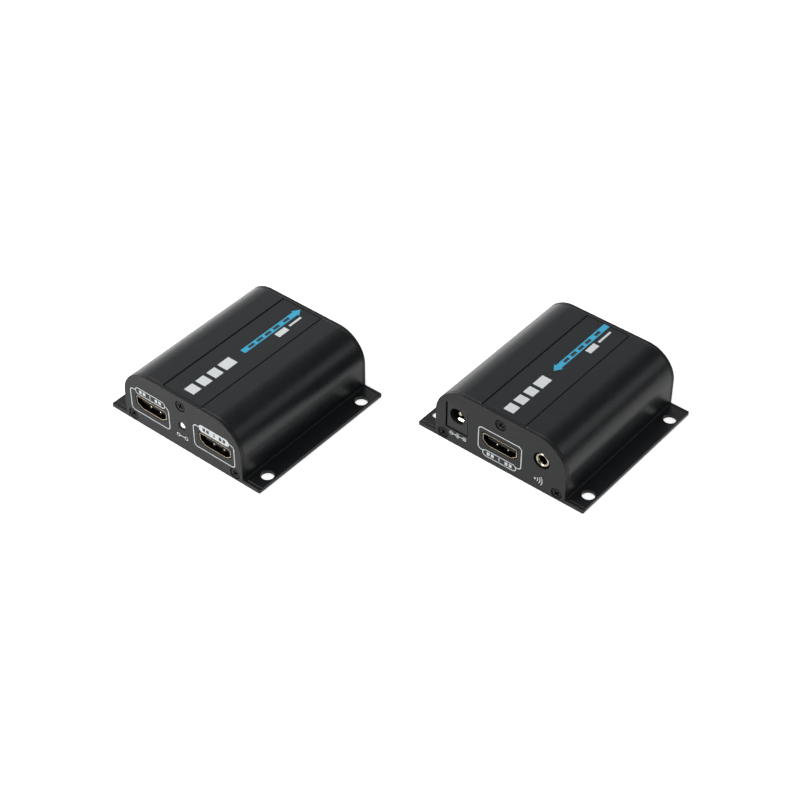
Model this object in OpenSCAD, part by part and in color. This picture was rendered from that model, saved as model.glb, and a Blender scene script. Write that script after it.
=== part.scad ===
// HDMI extender set: a sender box and a receiver box of one housing size.
// Each box is a length of aluminium extrusion with two screwed end panels,
// a circuit board slid into its side grooves, and sockets at both ends.
// The sender stands at the left front, the receiver at the right rear.
// Origin: middle of the set's footprint, on the surface that it stands on.
// Fronts face -Y. Lengths are millimetres.

/* [Set layout] */
// Gap between the flanges of the two boxes
unit_gap_x = 19.8; // [5:0.2:60]
// How far the receiver stands behind the sender
unit_pitch_y = 62.6; // [0:0.2:100]

/* [Housing] */
// Width over the housing's side walls
body_w = 56.6; // [52:0.2:66]
// How far each mounting flange stands out beyond its side wall
flange_reach = 7.7; // [6.4:0.1:12]
// Length from front face to rear face, panels included
unit_l = 66; // [56:0.5:90]
// Height from the underside to the flat top
unit_h = 24; // [23.5:0.5:32]
// Radius of the two long shoulders
shoulder_r = 12; // [9:0.5:13]
// Thickness of the side walls and the roof
wall_t = 1.5; // [1:0.1:2]
// Thickness of the floor and the flanges
flange_t = 1.6; // [1.2:0.1:1.8]
// Thickness of each end panel
panel_t = 1.5; // [1.2:0.1:2]
// Rounding of the panels' foot corners, seen from above
foot_corner_r = 0.5; // [0.3:0.1:1.1]

/* [Mounting holes] */
// Diameter of the four holes in the flanges
mount_hole_d = 4.8; // [3:0.1:5]
// Distance of each hole from its flange's edge
mount_in_x = 3.2; // [2.8:0.1:3.6]
// Distance of each hole from the end of the box
mount_in_y = 7.8; // [5:0.2:16]

/* [Label] */
// Width of the label plate on the roof
label_w = 18.6; // [10:0.2:24]
// Thickness of the label plate
label_t = 0.35; // [0.2:0.05:0.4]
// Depth of the recess that holds the label plate
label_recess = 0.45; // [0.4:0.05:0.6]

/* [Panel screws] */
// Diameter of the screw heads
head_d = 4.2; // [3.6:0.1:4.6]
// Diameter of the screw shanks
shank_d = 2.5; // [2:0.1:2.9]
// Length of the screws
screw_l = 8; // [5:0.5:12]
// Distance of each lower screw from the side wall's outer face
low_screw_in = 3.6; // [3.3:0.1:4]
// Height of the lower screws
low_screw_z = 3; // [2.8:0.1:3.1]
// Distance of the upper screw below the flat top
top_screw_in = 3.9; // [3.6:0.1:4]

/* [Circuit board] */
// Height of the board's upper face
board_top_z = 7; // [6.7:0.1:7.2]
// Thickness of the board
board_t = 1.6; // [1:0.1:1.7]

/* [HDMI sockets] */
// Width of the opening, measured in the middle of the metal
hdmi_w = 14.5; // [14:0.1:15]
// Height of the opening, measured in the middle of the metal
hdmi_h = 4.8; // [4.6:0.1:5.2]
// Width of the narrow lower side
hdmi_foot_w = 9.8; // [9:0.1:10.4]
// Height of the slanted lower corners
hdmi_slope_h = 1.6; // [1.3:0.1:1.9]
// Thickness of the shell's metal
hdmi_shell_t = 0.3; // [0.2:0.05:0.35]
// Length of the shell
hdmi_l = 10.6; // [9.5:0.1:12]
// Height of the sender's sockets above the board
sender_hdmi_lift = 1; // [0.6:0.05:1.3]
// Height of the receiver's socket above the board
receiver_hdmi_lift = 0.65; // [0.5:0.05:1.3]
// Distance of the sender's loop socket from the left side wall
loop_hdmi_in = 13.4; // [12.6:0.1:16]
// Distance of the sender's input socket from the right side wall
input_hdmi_in = 12.4; // [12.1:0.1:16]
// Place of the receiver's socket, right of the box's middle
output_hdmi_x = 0; // [-3:0.1:3]

/* [Power jack] */
// Width of the jack's square body
dc_w = 9; // [8.6:0.1:9.4]
// Height of the jack's body
dc_h = 11; // [10.8:0.1:11.2]
// Length of the jack's body
dc_l = 13; // [12:0.2:14]
// Diameter of the plug opening
dc_bore_d = 6.4; // [6:0.1:6.6]
// Height of the opening's axis above the board
dc_axis_h = 6.6; // [6.4:0.1:6.8]
// Diameter of the centre pin
dc_pin_d = 2; // [1.6:0.1:2.5]
// Distance of the receiver's power jack from the left side wall
receiver_dc_in = 9.65; // [9.3:0.05:12]
// Distance of the sender's power jack from the left side wall
sender_dc_in = 10.3; // [9.3:0.1:10.8]

/* [Infrared jack] */
// Width of the jack's body
ir_w = 7.2; // [7:0.1:7.6]
// Height of the jack's body
ir_h = 10.2; // [9.8:0.1:10.3]
// Length of the jack's body
ir_l = 12.4; // [12:0.1:13.5]
// Diameter of the plug opening
ir_bore_d = 3.6; // [3.5:0.05:3.8]
// Height of the opening's axis above the board
ir_axis_h = 7.1; // [6.9:0.1:7.2]
// Outer diameter of the metal collar
ir_collar_d = 5.8; // [5:0.1:6]
// Diameter of the hole in the panel around the collar
ir_panel_hole_d = 6.9; // [6.3:0.1:7.1]
// Distance of the receiver's infrared jack from the right side wall
receiver_ir_in = 10.5; // [9.8:0.1:13]

/* [Network jack] */
// Width of the plastic body
net_w = 15.4; // [15:0.1:15.8]
// Height of the plastic body
net_h = 12.9; // [12.7:0.1:13.1]
// Length of the plastic body
net_l = 15.8; // [15:0.1:17]
// Width of the plug opening
net_mouth_w = 11.8; // [11.6:0.1:12]
// Height of the plug opening
net_mouth_h = 6.8; // [6.6:0.1:7]
// Depth of the plug opening
net_mouth_l = 11.4; // [10.8:0.1:12]
// Height of the plug opening's floor above the board
net_floor_h = 3.3; // [3.1:0.1:3.4]
// Thickness of the metal shield
net_shield_t = 0.25; // [0.2:0.05:0.3]
// Number of contact wires
net_wires = 8; // [4:1:8]
// Spacing of the contact wires
net_wire_pitch = 1.02; // [0.9:0.02:1.2]
// Diameter of the contact wires
net_wire_d = 0.4; // [0.3:0.02:0.46]
// Distance of the network jacks from the right side wall
net_in = 15.5; // [15:0.1:16]

/* [Link light] */
// Diameter of the lamp's lens
led_d = 3.2; // [2.8:0.1:3.4]
// Height of the lamp's axis above the board
led_axis_h = 3.95; // [3.2:0.05:4.5]

/* [Board parts] */
// Side of the square video chip
chip_w = 14; // [10:0.5:15]
// Thickness of the chips
chip_t = 1.2; // [0.8:0.1:1.6]
// Height of the heat sink on the video chip
sink_h = 6; // [3:0.5:7]
// Number of fins on the heat sink
sink_fins = 6; // [4:1:8]
// Side of the square power coil
coil_w = 6; // [4:0.5:7]
// Diameter of the larger capacitor
big_cap_d = 6.3; // [5:0.1:6.6]
// Diameter of the smaller capacitor
small_cap_d = 5; // [4:0.1:5.4]

/* [Hidden] */
$fn = 48;
// One overrun for every cut
cut = 1;
// Gap between a fixed piece and the edge of its panel opening
panel_gap = 0.25;
// Gap between pieces that slide together
slide_gap = 0.15;
// Gap between pieces that are pressed or moulded together
snug_gap = 0.05;

// Places across the set and across each box
flange_w = body_w + 2 * flange_reach;
unit_pitch_x = flange_w + unit_gap_x;
mount_x = flange_w / 2 - mount_in_x;
mount_y = unit_l / 2 - mount_in_y;
low_screw_x = body_w / 2 - low_screw_in;
top_screw_z = unit_h - top_screw_in;
loop_hdmi_x = loop_hdmi_in - body_w / 2;
input_hdmi_x = body_w / 2 - input_hdmi_in;
receiver_dc_x = receiver_dc_in - body_w / 2;
sender_dc_x = sender_dc_in - body_w / 2;
receiver_ir_x = body_w / 2 - receiver_ir_in;
net_x = body_w / 2 - net_in;
net_outer_w = net_w + 2 * net_shield_t;
// The sender's infrared jack stands midway between its two neighbours
sender_ir_x = (sender_dc_x + dc_w / 2 + net_x - net_outer_w / 2) / 2;

// Housing
roof_t = wall_t + label_recess;
inner_w = body_w - 2 * wall_t;
inner_h = unit_h - flange_t - roof_t;
inner_r = shoulder_r - wall_t;
extrusion_l = unit_l - 2 * panel_t;
board_under_z = board_top_z - board_t;
thread_d = shank_d + 2 * snug_gap;
// Metal around the tapped screw channels
channel_wall = 1.1;
// Depth and thickness of the rib above each board edge
rib_depth = 1.5;
rib_t = 1;

// Panel screws
head_cone_h = (head_d - shank_d) / 2;
head_rim_h = 0.12;
head_sink = 0.06;
cross_w = 0.55;
cross_l = 2.3;
cross_depth = 0.8;
screw_tip_h = 0.8;
// How far the cross of each screw is turned
left_screw_turn = 35;
right_screw_turn = 50;
top_screw_turn = 20;

// Board
board_w = inner_w - 4 * slide_gap;
board_l = extrusion_l - 2 * slide_gap;

// HDMI sockets
hdmi_face = 0.05;
hdmi_slope_a = atan2(hdmi_slope_h, (hdmi_w - hdmi_foot_w) / 2);
hdmi_gap = 0.35;
hdmi_leg_w = 1.2;
hdmi_leg_t = 0.25;
hdmi_leg_reach = 1.2;
hdmi_leg_places = [2.8, 8.2];
hdmi_back_l = 1.2;
hdmi_tongue_w = 11.4;
hdmi_tongue_t = 1;
hdmi_tongue_face = 1.3;
hdmi_throat = 7.4;
hdmi_base_w = 9;
hdmi_base_face = 7.2;
hdmi_top_contacts = 10;
hdmi_low_contacts = 9;
hdmi_contact_pitch = 1;
hdmi_contact_w = 0.45;
hdmi_contact_t = 0.15;
hdmi_contact_face = 0.5;
hdmi_finger_x = 2.35;
hdmi_finger_w = 1.4;
hdmi_finger_l = 3.6;
hdmi_finger_face = 1.2;
hdmi_finger_slot = 0.3;
hdmi_finger_root = 0.4;
hdmi_finger_rise = 0.35;

// Power jack
dc_face = 0.12;
dc_bore_l = 9.6;
dc_pin_face = 1.4;
dc_slot_w = 3;
dc_slot_h = 1.7;
dc_slot_face = 1.2;
dc_leaf_w = 2.4;
dc_leaf_t = 0.25;
dc_leaf_reach = 0.85;
dc_leaf_crest = 3.4;
dc_leaf_tip = 2;
dc_leaf_l = 8.6;
dc_leaf_root = dc_slot_face + dc_leaf_l;
dc_leaf_root_r = 0.32;
dc_leaf_root_drop = 1;
// Height of the leaf's turning axis above the board
dc_root_z = dc_axis_h - dc_bore_d / 2 - dc_leaf_root_drop;
dc_tab_w = 2.2;
dc_tab_t = 0.45;
// Length of every solder leg below the board
solder_reach = 0.9;

// Infrared jack
ir_face = 0.3;
ir_bore_l = 11.4;
ir_collar_l = 2.8;
ir_slot_h = 2.4;
ir_slot_w = 1.4;
ir_slot_face = 3.6;
ir_slot_l = 7.4;
ir_spring_h = 1.7;
ir_spring_t = 0.22;
ir_spring_reach = 0.45;
ir_spring_root_r = 0.3;
ir_spring_crest_l = 4.6;
ir_spring_tip_l = 5.6;
ir_spring_tip_in = 0.35;
ir_tab_w = 1.4;
ir_tab_t = 0.3;
// Front of the jack's plastic body, just behind the panel
ir_body_face = panel_t + slide_gap;
// Place of the spring's turning axis
ir_root_y = ir_body_face + ir_slot_face;
ir_root_x = ir_bore_d / 2 + ir_slot_w / 2;

// Network jack
net_face = 0.1;
net_notch_w = 6;
net_notch_h = 1.3;
net_key_w = 3.2;
net_key_h = 1.3;
net_light_w = 2.6;
net_light_h = 1.9;
net_light_l = 6;
net_wire_face = 1.4;
net_wire_l = 6.6;
net_wire_a = 15;
net_root_r = 0.3;
net_root_w = 0.5;
net_leg_w = 2;
net_leg_place = 9;
net_outer_h = net_h + net_shield_t;
net_ceiling = net_floor_h + net_mouth_h;

// Link light
led_face = 0.1;
led_l = 4.6;
led_gap = 0.17;
led_flange_t = 0.8;
led_flange_lip = 0.35;
led_flange_d = led_d + 2 * led_flange_lip;
led_holder_w = 4.8;
led_holder_l = 3.2;
led_holder_face = 2.2;

// Board parts: distances from the side walls' inner faces and from either end
chip_left = 1;
chip_forward = 3;
transformer_back = 22.2;
transformer_size = [12.6, 9.4, 3.6];
coil_in = 7.8;
coil_y = 34;
coil_t = 3;
coil_corner_r = 1;
cap_in = 7.4;
big_cap_y = 26;
big_cap_h = 5.8;
small_cap_y = 18.2;
small_cap_h = 5.4;
cap_base_margin = 0.3;
cap_base_t = 0.8;
crystal_left = 5;
crystal_back = 20.5;
crystal_size = [11, 4.4, 3.2];
memory_in = 10.8;
memory_y = 21.5;
memory_size = [8, 10, 1];
buffer_in = 14.3;
buffer_y = 18;
buffer_size = [6, 5, 0.9];
sink_base_t = 1.6;
sink_fin_t = 0.9;

// Colours of the set
coat = "#303335";
panel_coat = "#464746";
label_film = "#35393c";
bright_metal = "#d8cfc0";
black_plastic = "#151515";
board_green = "#1d5a38";
solder_tin = "#c9c9c4";
gold = "#d2a94c";

// Places

// Moves a part of the sender to its place in the set
module in_sender() {
  translate([-unit_pitch_x / 2, -(unit_pitch_y + unit_l) / 2, 0]) children();
}

// Moves a part of the receiver to its place in the set
module in_receiver() {
  translate([unit_pitch_x / 2, (unit_pitch_y - unit_l) / 2, 0]) children();
}

// Puts a socket on the board, facing out of the front panel
module at_front(x) {
  translate([x, 0, board_top_z]) children();
}

// Puts a socket on the board, facing out of the rear panel
module at_rear(x) {
  translate([x, unit_l, board_top_z]) rotate([0, 0, 180]) children();
}

// Extrudes an outline drawn in x and z along the box, from y0 on
module along(y0, l) {
  translate([0, y0 + l, 0]) rotate([90, 0, 0]) linear_extrude(height = l) children();
}

// Extrudes an outline drawn in y and z across the box, about the middle
module across(w) {
  translate([-w / 2, 0, 0]) rotate([90, 0, 90]) linear_extrude(height = w) children();
}

// A block about x = 0 that starts at y0 and z0
module block(w, y0, l, z0, h) {
  translate([-w / 2, y0, z0]) cube([w, l, h]);
}

// A turned piece along the box, from [radius, place] points
module turned(points) {
  rotate([-90, 0, 0]) rotate_extrude() polygon(points);
}

// A round rod along the box that starts at y0
module rod(d, y0, l) {
  translate([0, y0, 0]) rotate([-90, 0, 0]) cylinder(d = d, h = l);
}

// Housing

// Outline with straight sides, round shoulders and a flat top
module arch_outline(w, h, r) {
  translate([-w / 2, 0]) square([w, h - r]);
  translate([-w / 2 + r, 0]) square([w - 2 * r, h]);
  for (side = [-1, 1])
    translate([side * (w / 2 - r), h - r]) circle(r = r);
}

// Outer outline of the box with its two flanges
module box_outline() {
  arch_outline(body_w, unit_h, shoulder_r);
  translate([-flange_w / 2, 0]) square([flange_w, flange_t]);
}

// Screw channels and board ribs inside the outline, their roots sunk in the walls
module inner_features() {
  root = wall_t / 2;
  low_w = inner_w / 2 - low_screw_x + thread_d / 2 + channel_wall;
  for (side = [0, 1]) mirror([side, 0]) {
    translate([inner_w / 2 - low_w, flange_t - root]) square([low_w + root, board_under_z - flange_t + root]);
    translate([inner_w / 2 - rib_depth, board_top_z + slide_gap]) square([rib_depth + root, rib_t]);
  }
  top_w = thread_d + 2 * channel_wall;
  top_low_z = top_screw_z - thread_d / 2 - channel_wall;
  translate([-top_w / 2, top_low_z]) square([top_w, unit_h - roof_t - top_low_z + root]);
}

// The three screw axes
module screw_places() {
  for (side = [-1, 1]) translate([side * low_screw_x, 0, low_screw_z]) children();
  translate([0, 0, top_screw_z]) children();
}

module housing() {
  color(coat) difference() {
    along(panel_t, extrusion_l) difference() {
      box_outline();
      difference() {
        translate([0, flange_t]) arch_outline(inner_w, inner_h, inner_r);
        inner_features();
      }
      translate([-label_w / 2 - slide_gap, unit_h - label_recess])
        square([label_w + 2 * slide_gap, label_recess + cut]);
    }
    screw_places() rod(thread_d, panel_t - cut, extrusion_l + 2 * cut);
    for (x = [-mount_x, mount_x], y = [-mount_y, mount_y])
      translate([x, unit_l / 2 + y, -cut]) cylinder(d = mount_hole_d, h = flange_t + 2 * cut);
  }
}

// End panels

// Plan of the box with its foot corners rounded
module foot_plan() {
  r = foot_corner_r;
  for (x = [r - flange_w / 2, flange_w / 2 - r], y = [r, unit_l - r])
    translate([x, y, -cut]) cylinder(r = r, h = unit_h + 2 * cut);
  translate([r - flange_w / 2, 0, -cut]) cube([flange_w - 2 * r, unit_l, unit_h + 2 * cut]);
  translate([-flange_w / 2, r, -cut]) cube([flange_w, unit_l - 2 * r, unit_h + 2 * cut]);
}

// Countersunk clearance hole, from the face inwards
module countersink() {
  rim = head_rim_h + head_sink;
  head_r = head_d / 2 + slide_gap;
  hole_r = shank_d / 2 + slide_gap;
  turned([
    [0, -cut], [head_r, -cut], [head_r, rim], [hole_r, rim + head_cone_h],
    [hole_r, panel_t + cut], [0, panel_t + cut]
  ]);
}

// End panel at the front, without its openings
module blank_panel() {
  intersection() {
    along(0, panel_t) box_outline();
    foot_plan();
  }
}

module sender_front() {
  color(panel_coat) difference() {
    blank_panel();
    screw_places() countersink();
    for (x = [loop_hdmi_x, input_hdmi_x])
      at_front(x) hdmi_opening(sender_hdmi_lift);
    at_front(0) translate([0, 0, led_axis_h]) rod(led_d + 2 * led_gap, -cut, panel_t + 2 * cut);
  }
}

module receiver_front() {
  color(panel_coat) difference() {
    blank_panel();
    screw_places() countersink();
    at_front(output_hdmi_x) hdmi_opening(receiver_hdmi_lift);
    at_front(receiver_dc_x) dc_opening();
    at_front(receiver_ir_x) ir_opening();
  }
}

// End panel at the rear, with its screw holes only
module rear_blank() {
  difference() {
    translate([0, unit_l, 0]) rotate([0, 0, 180]) blank_panel();
    translate([0, unit_l, 0]) rotate([0, 0, 180]) screw_places() countersink();
  }
}

module sender_rear() {
  color(panel_coat) difference() {
    rear_blank();
    at_rear(net_x) net_opening();
    at_rear(sender_dc_x) dc_opening();
    at_rear(sender_ir_x) ir_opening();
  }
}

module receiver_rear() {
  color(panel_coat) difference() {
    rear_blank();
    at_rear(net_x) net_opening();
  }
}

// Label plate in the roof's recess
module label_plate() {
  color(label_film)
    block(label_w, panel_t + slide_gap, extrusion_l - 2 * slide_gap, unit_h - label_recess, label_t);
}

// Countersunk cross-recess screw, head towards -Y
module screw(turn) {
  rim = head_sink + head_rim_h;
  shank_r = shank_d / 2;
  end = rim + screw_l;
  difference() {
    turned([
      [0, head_sink], [head_d / 2, head_sink], [head_d / 2, rim], [shank_r, rim + head_cone_h],
      [shank_r, end - screw_tip_h], [shank_r / 2, end], [0, end]
    ]);
    for (a = [turn, turn + 90])
      rotate([0, a, 0]) block(cross_l, -cut, cut + cross_depth, -cross_w / 2, cross_w);
  }
}

module panel_screws() {
  color(black_plastic) {
    translate([-low_screw_x, 0, low_screw_z]) screw(left_screw_turn);
    translate([low_screw_x, 0, low_screw_z]) screw(right_screw_turn);
    translate([0, 0, top_screw_z]) screw(top_screw_turn);
  }
}

module rear_panel_screws() {
  translate([0, unit_l, 0]) rotate([0, 0, 180]) panel_screws();
}

// HDMI socket, mouth towards -Y, z = 0 on the board

// Outline of the opening, grown by g from the middle of the metal
function hdmi_outline(g) =
  let (
    side = hdmi_w / 2 + g,
    low = hdmi_slope_h - g * tan((90 - hdmi_slope_a) / 2),
    foot = hdmi_foot_w / 2 + g * tan(hdmi_slope_a / 2)
  )
  [
    [-side, hdmi_h + g], [-side, low], [-foot, -g],
    [foot, -g], [side, low], [side, hdmi_h + g]
  ];

// Height of the outline's own zero above the board
function hdmi_zero(lift) = lift + hdmi_shell_t / 2;

module hdmi_opening(lift) {
  translate([0, 0, hdmi_zero(lift)])
    along(-cut, panel_t + 2 * cut) polygon(hdmi_outline(hdmi_shell_t / 2 + hdmi_gap));
}

// Four legs down to low, grown by g for the board's slots
module hdmi_legs(lift, low, g) {
  top = hdmi_zero(lift) + hdmi_h / 2;
  for (side = [-1, 1], y = hdmi_leg_places)
    translate([side * hdmi_w / 2, 0, 0])
      block(
        hdmi_leg_t + 2 * g, y - g, hdmi_leg_w + 2 * g,
        low, top - low
      );
}

// Places of the two spring fingers in the shell's lower side
module hdmi_finger_places() {
  for (side = [-1, 1]) translate([side * hdmi_finger_x, hdmi_finger_face, 0]) children();
}

module hdmi_shell(lift) {
  z0 = hdmi_zero(lift);
  slot = hdmi_finger_slot;
  color(bright_metal) union() {
    difference() {
      translate([0, 0, z0]) along(hdmi_face, hdmi_l) difference() {
        polygon(hdmi_outline(hdmi_shell_t / 2));
        polygon(hdmi_outline(-hdmi_shell_t / 2));
      }
      hdmi_finger_places()
        block(hdmi_finger_w + 2 * slot, -slot, hdmi_finger_l + slot, z0 - cut, cut + hdmi_shell_t);
    }
    hdmi_finger_places() translate([0, 0, z0]) across(hdmi_finger_w) polygon([
      [0, hdmi_finger_rise / 2],
      [hdmi_finger_l / 4, hdmi_finger_rise],
      [hdmi_finger_l, hdmi_shell_t / 2],
      [hdmi_finger_l + hdmi_finger_root, hdmi_shell_t / 4],
      [hdmi_finger_l + hdmi_finger_root, -hdmi_shell_t / 4],
      [hdmi_finger_l, -hdmi_shell_t / 2],
      [hdmi_finger_l / 4, hdmi_finger_rise - hdmi_shell_t],
      [0, hdmi_finger_rise / 2 - hdmi_shell_t]
    ]);
    hdmi_legs(lift, -hdmi_leg_reach, 0);
  }
}

module hdmi_insert(lift) {
  z0 = hdmi_zero(lift);
  back = hdmi_face + hdmi_l + snug_gap;
  color(black_plastic) union() {
    translate([0, 0, z0]) along(hdmi_face + hdmi_throat, hdmi_l - hdmi_throat + hdmi_back_l)
      polygon(hdmi_outline(-hdmi_shell_t / 2 - snug_gap));
    block(
      hdmi_tongue_w, hdmi_face + hdmi_tongue_face, hdmi_throat - hdmi_tongue_face + cut,
      z0 + (hdmi_h - hdmi_tongue_t) / 2, hdmi_tongue_t
    );
    block(hdmi_foot_w, back, hdmi_back_l, 0, z0 + hdmi_h);
    block(
      hdmi_base_w, hdmi_face + hdmi_base_face, back + hdmi_back_l - hdmi_face - hdmi_base_face,
      0, lift - snug_gap
    );
  }
}

// One row of contact strips, n across, from y0 over l
module contact_row(n, y0, l, z0, h) {
  for (i = [0 : n - 1])
    translate([(i - (n - 1) / 2) * hdmi_contact_pitch, 0, 0])
      block(hdmi_contact_w, y0, l, z0, h);
}

module hdmi_contacts(lift) {
  z0 = hdmi_zero(lift) + hdmi_h / 2;
  y0 = hdmi_face + hdmi_tongue_face + hdmi_contact_face;
  l = hdmi_throat - hdmi_tongue_face - hdmi_contact_face;
  back = hdmi_face + hdmi_l + snug_gap + hdmi_back_l;
  color(gold) {
    contact_row(hdmi_top_contacts, y0, l, z0 + hdmi_tongue_t / 2, hdmi_contact_t);
    contact_row(hdmi_low_contacts, y0, l, z0 - hdmi_tongue_t / 2 - hdmi_contact_t, hdmi_contact_t);
    contact_row(hdmi_low_contacts, back, hdmi_contact_t, 0, lift);
    contact_row(hdmi_low_contacts, back, hdmi_leg_w, 0, hdmi_contact_t);
  }
}

// Power jack, mouth towards -Y, z = 0 on the board
module dc_opening() {
  block(dc_w + 2 * panel_gap, -cut, panel_t + 2 * cut, -panel_gap, dc_h + 2 * panel_gap);
}

module dc_body() {
  color(black_plastic) difference() {
    block(dc_w, dc_face, dc_l, 0, dc_h);
    translate([0, 0, dc_axis_h]) {
      rod(dc_bore_d, dc_face - cut, cut + dc_bore_l);
      rod(dc_pin_d + 2 * snug_gap, dc_face, dc_l + cut);
    }
    block(
      dc_slot_w, dc_face + dc_slot_face, dc_leaf_root - dc_slot_face + dc_leaf_root_r + slide_gap,
      dc_axis_h - dc_bore_d / 2 - dc_slot_h, dc_slot_h + dc_bore_d / 4
    );
  }
}

// Terminal down through the board behind the jack, grown by g in the board
module dc_tab(g) {
  low = -board_t - solder_reach;
  block(dc_tab_w + 2 * g, dc_face + dc_l - g, dc_tab_t + 2 * g, low, dc_axis_h + dc_pin_d / 2 - low);
}

module dc_terminals() {
  color(bright_metal) union() {
    translate([0, 0, dc_axis_h]) {
      rod(dc_pin_d, dc_face + dc_pin_face + dc_pin_d / 2, dc_l - dc_pin_face - dc_pin_d / 2);
      translate([0, dc_face + dc_pin_face + dc_pin_d / 2, 0]) sphere(d = dc_pin_d);
    }
    dc_tab(0);
  }
}

// Sprung leaf that presses on the plug's barrel, turning at its rear end
module dc_leaf() {
  top = dc_axis_h - dc_bore_d / 2 + dc_leaf_reach;
  root = dc_face + dc_leaf_root;
  crest = dc_face + dc_leaf_crest;
  tip = dc_face + dc_leaf_tip;
  color(bright_metal) union() {
    across(dc_leaf_w) polygon([
      [root, dc_root_z + dc_leaf_t / 2],
      [crest, top],
      [tip, top - dc_leaf_reach],
      [tip, top - dc_leaf_reach - dc_leaf_t],
      [crest, top - dc_leaf_t],
      [root, dc_root_z - dc_leaf_t / 2]
    ]);
    translate([-dc_leaf_w / 2, root, dc_root_z]) rotate([0, 90, 0])
      cylinder(r = dc_leaf_root_r, h = dc_leaf_w);
  }
}

// Infrared jack, mouth towards -Y, z = 0 on the board
module ir_opening() {
  translate([0, 0, ir_axis_h]) rod(ir_panel_hole_d, -cut, panel_t + 2 * cut);
}

module ir_body() {
  color(black_plastic) difference() {
    block(ir_w, ir_body_face, ir_l, 0, ir_h);
    translate([0, 0, ir_axis_h]) {
      rod(ir_bore_d, ir_body_face - cut, cut + ir_bore_l);
      rod(ir_collar_d + 2 * snug_gap, ir_body_face - cut, cut + ir_collar_l - (ir_body_face - ir_face));
      translate([0, ir_root_y - ir_spring_root_r - slide_gap, -ir_slot_h / 2])
        cube([ir_bore_d / 2 + ir_slot_w, ir_slot_l, ir_slot_h]);
    }
  }
}

module ir_tab(g) {
  low = -board_t - solder_reach;
  back = ir_body_face + ir_l;
  block(ir_tab_w + 2 * g, back - g, ir_tab_t + 2 * g, low, ir_axis_h - low);
}

module ir_terminals() {
  color(bright_metal) {
    translate([0, 0, ir_axis_h]) difference() {
      rod(ir_collar_d, ir_face, ir_collar_l);
      rod(ir_bore_d, ir_face - cut, ir_collar_l + 2 * cut);
    }
    ir_tab(0);
  }
}

// Sprung contact beside the bore, turning at its front end
module ir_spring() {
  x0 = ir_root_x;
  crest_x = ir_bore_d / 2 - ir_spring_reach;
  t = ir_spring_t / 2;
  color(gold) translate([0, ir_root_y, ir_axis_h]) {
    translate([0, 0, -ir_spring_h / 2]) linear_extrude(height = ir_spring_h) polygon([
      [x0 - t, 0],
      [crest_x, ir_spring_crest_l],
      [x0 - ir_spring_tip_in - t, ir_spring_tip_l],
      [x0 - ir_spring_tip_in + t, ir_spring_tip_l],
      [crest_x + 2 * t, ir_spring_crest_l],
      [x0 + t, 0]
    ]);
    translate([x0, 0, -ir_spring_h / 2]) cylinder(r = ir_spring_root_r, h = ir_spring_h);
  }
}

// Network jack, mouth towards -Y, z = 0 on the board
module net_opening() {
  block(
    net_outer_w + 2 * panel_gap, -cut, panel_t + 2 * cut,
    -panel_gap, net_outer_h + 2 * panel_gap
  );
}

// The two light windows above the mouth, grown by g
module net_light_places(g) {
  x = net_w / 2 - net_light_w / 2 - 2 * net_shield_t;
  z = (net_ceiling + net_h - net_light_h) / 2;
  for (side = [-1, 1])
    translate([side * x, 0, 0])
      block(net_light_w + 2 * g, net_face - g, net_light_l + 2 * g, z - g, net_light_h + 2 * g);
}

module net_body() {
  color(black_plastic) difference() {
    block(net_w, net_face, net_l, 0, net_h);
    block(net_mouth_w, net_face - cut, cut + net_mouth_l, net_floor_h, net_mouth_h);
    block(net_notch_w, net_face - cut, cut + net_mouth_l, net_floor_h - net_notch_h, net_notch_h + cut);
    block(
      net_key_w, net_face - cut, cut + net_mouth_l,
      net_floor_h - net_notch_h - net_key_h, net_key_h + cut
    );
    net_light_places(snug_gap);
  }
}

// Legs of the shield, grown by g in the board's slots
module net_legs(g) {
  for (side = [-1, 1])
    translate([side * (net_outer_w - net_shield_t) / 2, 0, 0])
      block(
        net_shield_t + 2 * g, net_leg_place - g, net_leg_w + 2 * g,
        -board_t - solder_reach, board_t + solder_reach + net_h
      );
}

module net_shield() {
  color(solder_tin) union() {
    difference() {
      block(net_outer_w, net_face, net_l + net_shield_t + snug_gap, 0, net_outer_h + snug_gap);
      block(net_w + 2 * snug_gap, net_face - cut, net_l + cut + snug_gap, -cut, net_h + cut + snug_gap);
    }
    net_legs(0);
  }
}

// Sprung contact wires that hang down into the mouth from its front lip
module net_contact_wires() {
  z = net_ceiling - net_wire_d / 2 - slide_gap;
  color(gold) for (i = [0 : net_wires - 1])
    translate([(i - (net_wires - 1) / 2) * net_wire_pitch, net_face + net_wire_face, z]) {
      rotate([-90 - net_wire_a, 0, 0]) cylinder(d = net_wire_d, h = net_wire_l);
      rotate([0, 90, 0]) cylinder(r = net_root_r, h = net_root_w, center = true);
    }
}

module net_lights() {
  color("#9fb08a") net_light_places(0);
}

// Link light in its holder, lens towards -Y, z = 0 on the board
module link_lamp() {
  color("#e8e8e2") translate([0, 0, led_axis_h]) union() {
    translate([0, led_face + led_d / 2, 0]) sphere(d = led_d);
    rod(led_d, led_face + led_d / 2, led_l - led_d / 2);
    rod(led_flange_d, led_face + led_l, led_flange_t);
  }
}

module lamp_holder() {
  y0 = led_face + led_holder_face;
  color(black_plastic) difference() {
    block(led_holder_w, y0, led_holder_l, 0, led_axis_h + led_holder_w / 2);
    translate([0, 0, led_axis_h]) {
      rod(led_d + 2 * snug_gap, y0 - cut, led_holder_l + 2 * cut);
      rod(led_flange_d + 2 * snug_gap, led_face + led_l, led_holder_l);
    }
  }
}

// Circuit boards

module blank_board() {
  block(board_w, panel_t + slide_gap, board_l, board_under_z, board_t);
}

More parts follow.
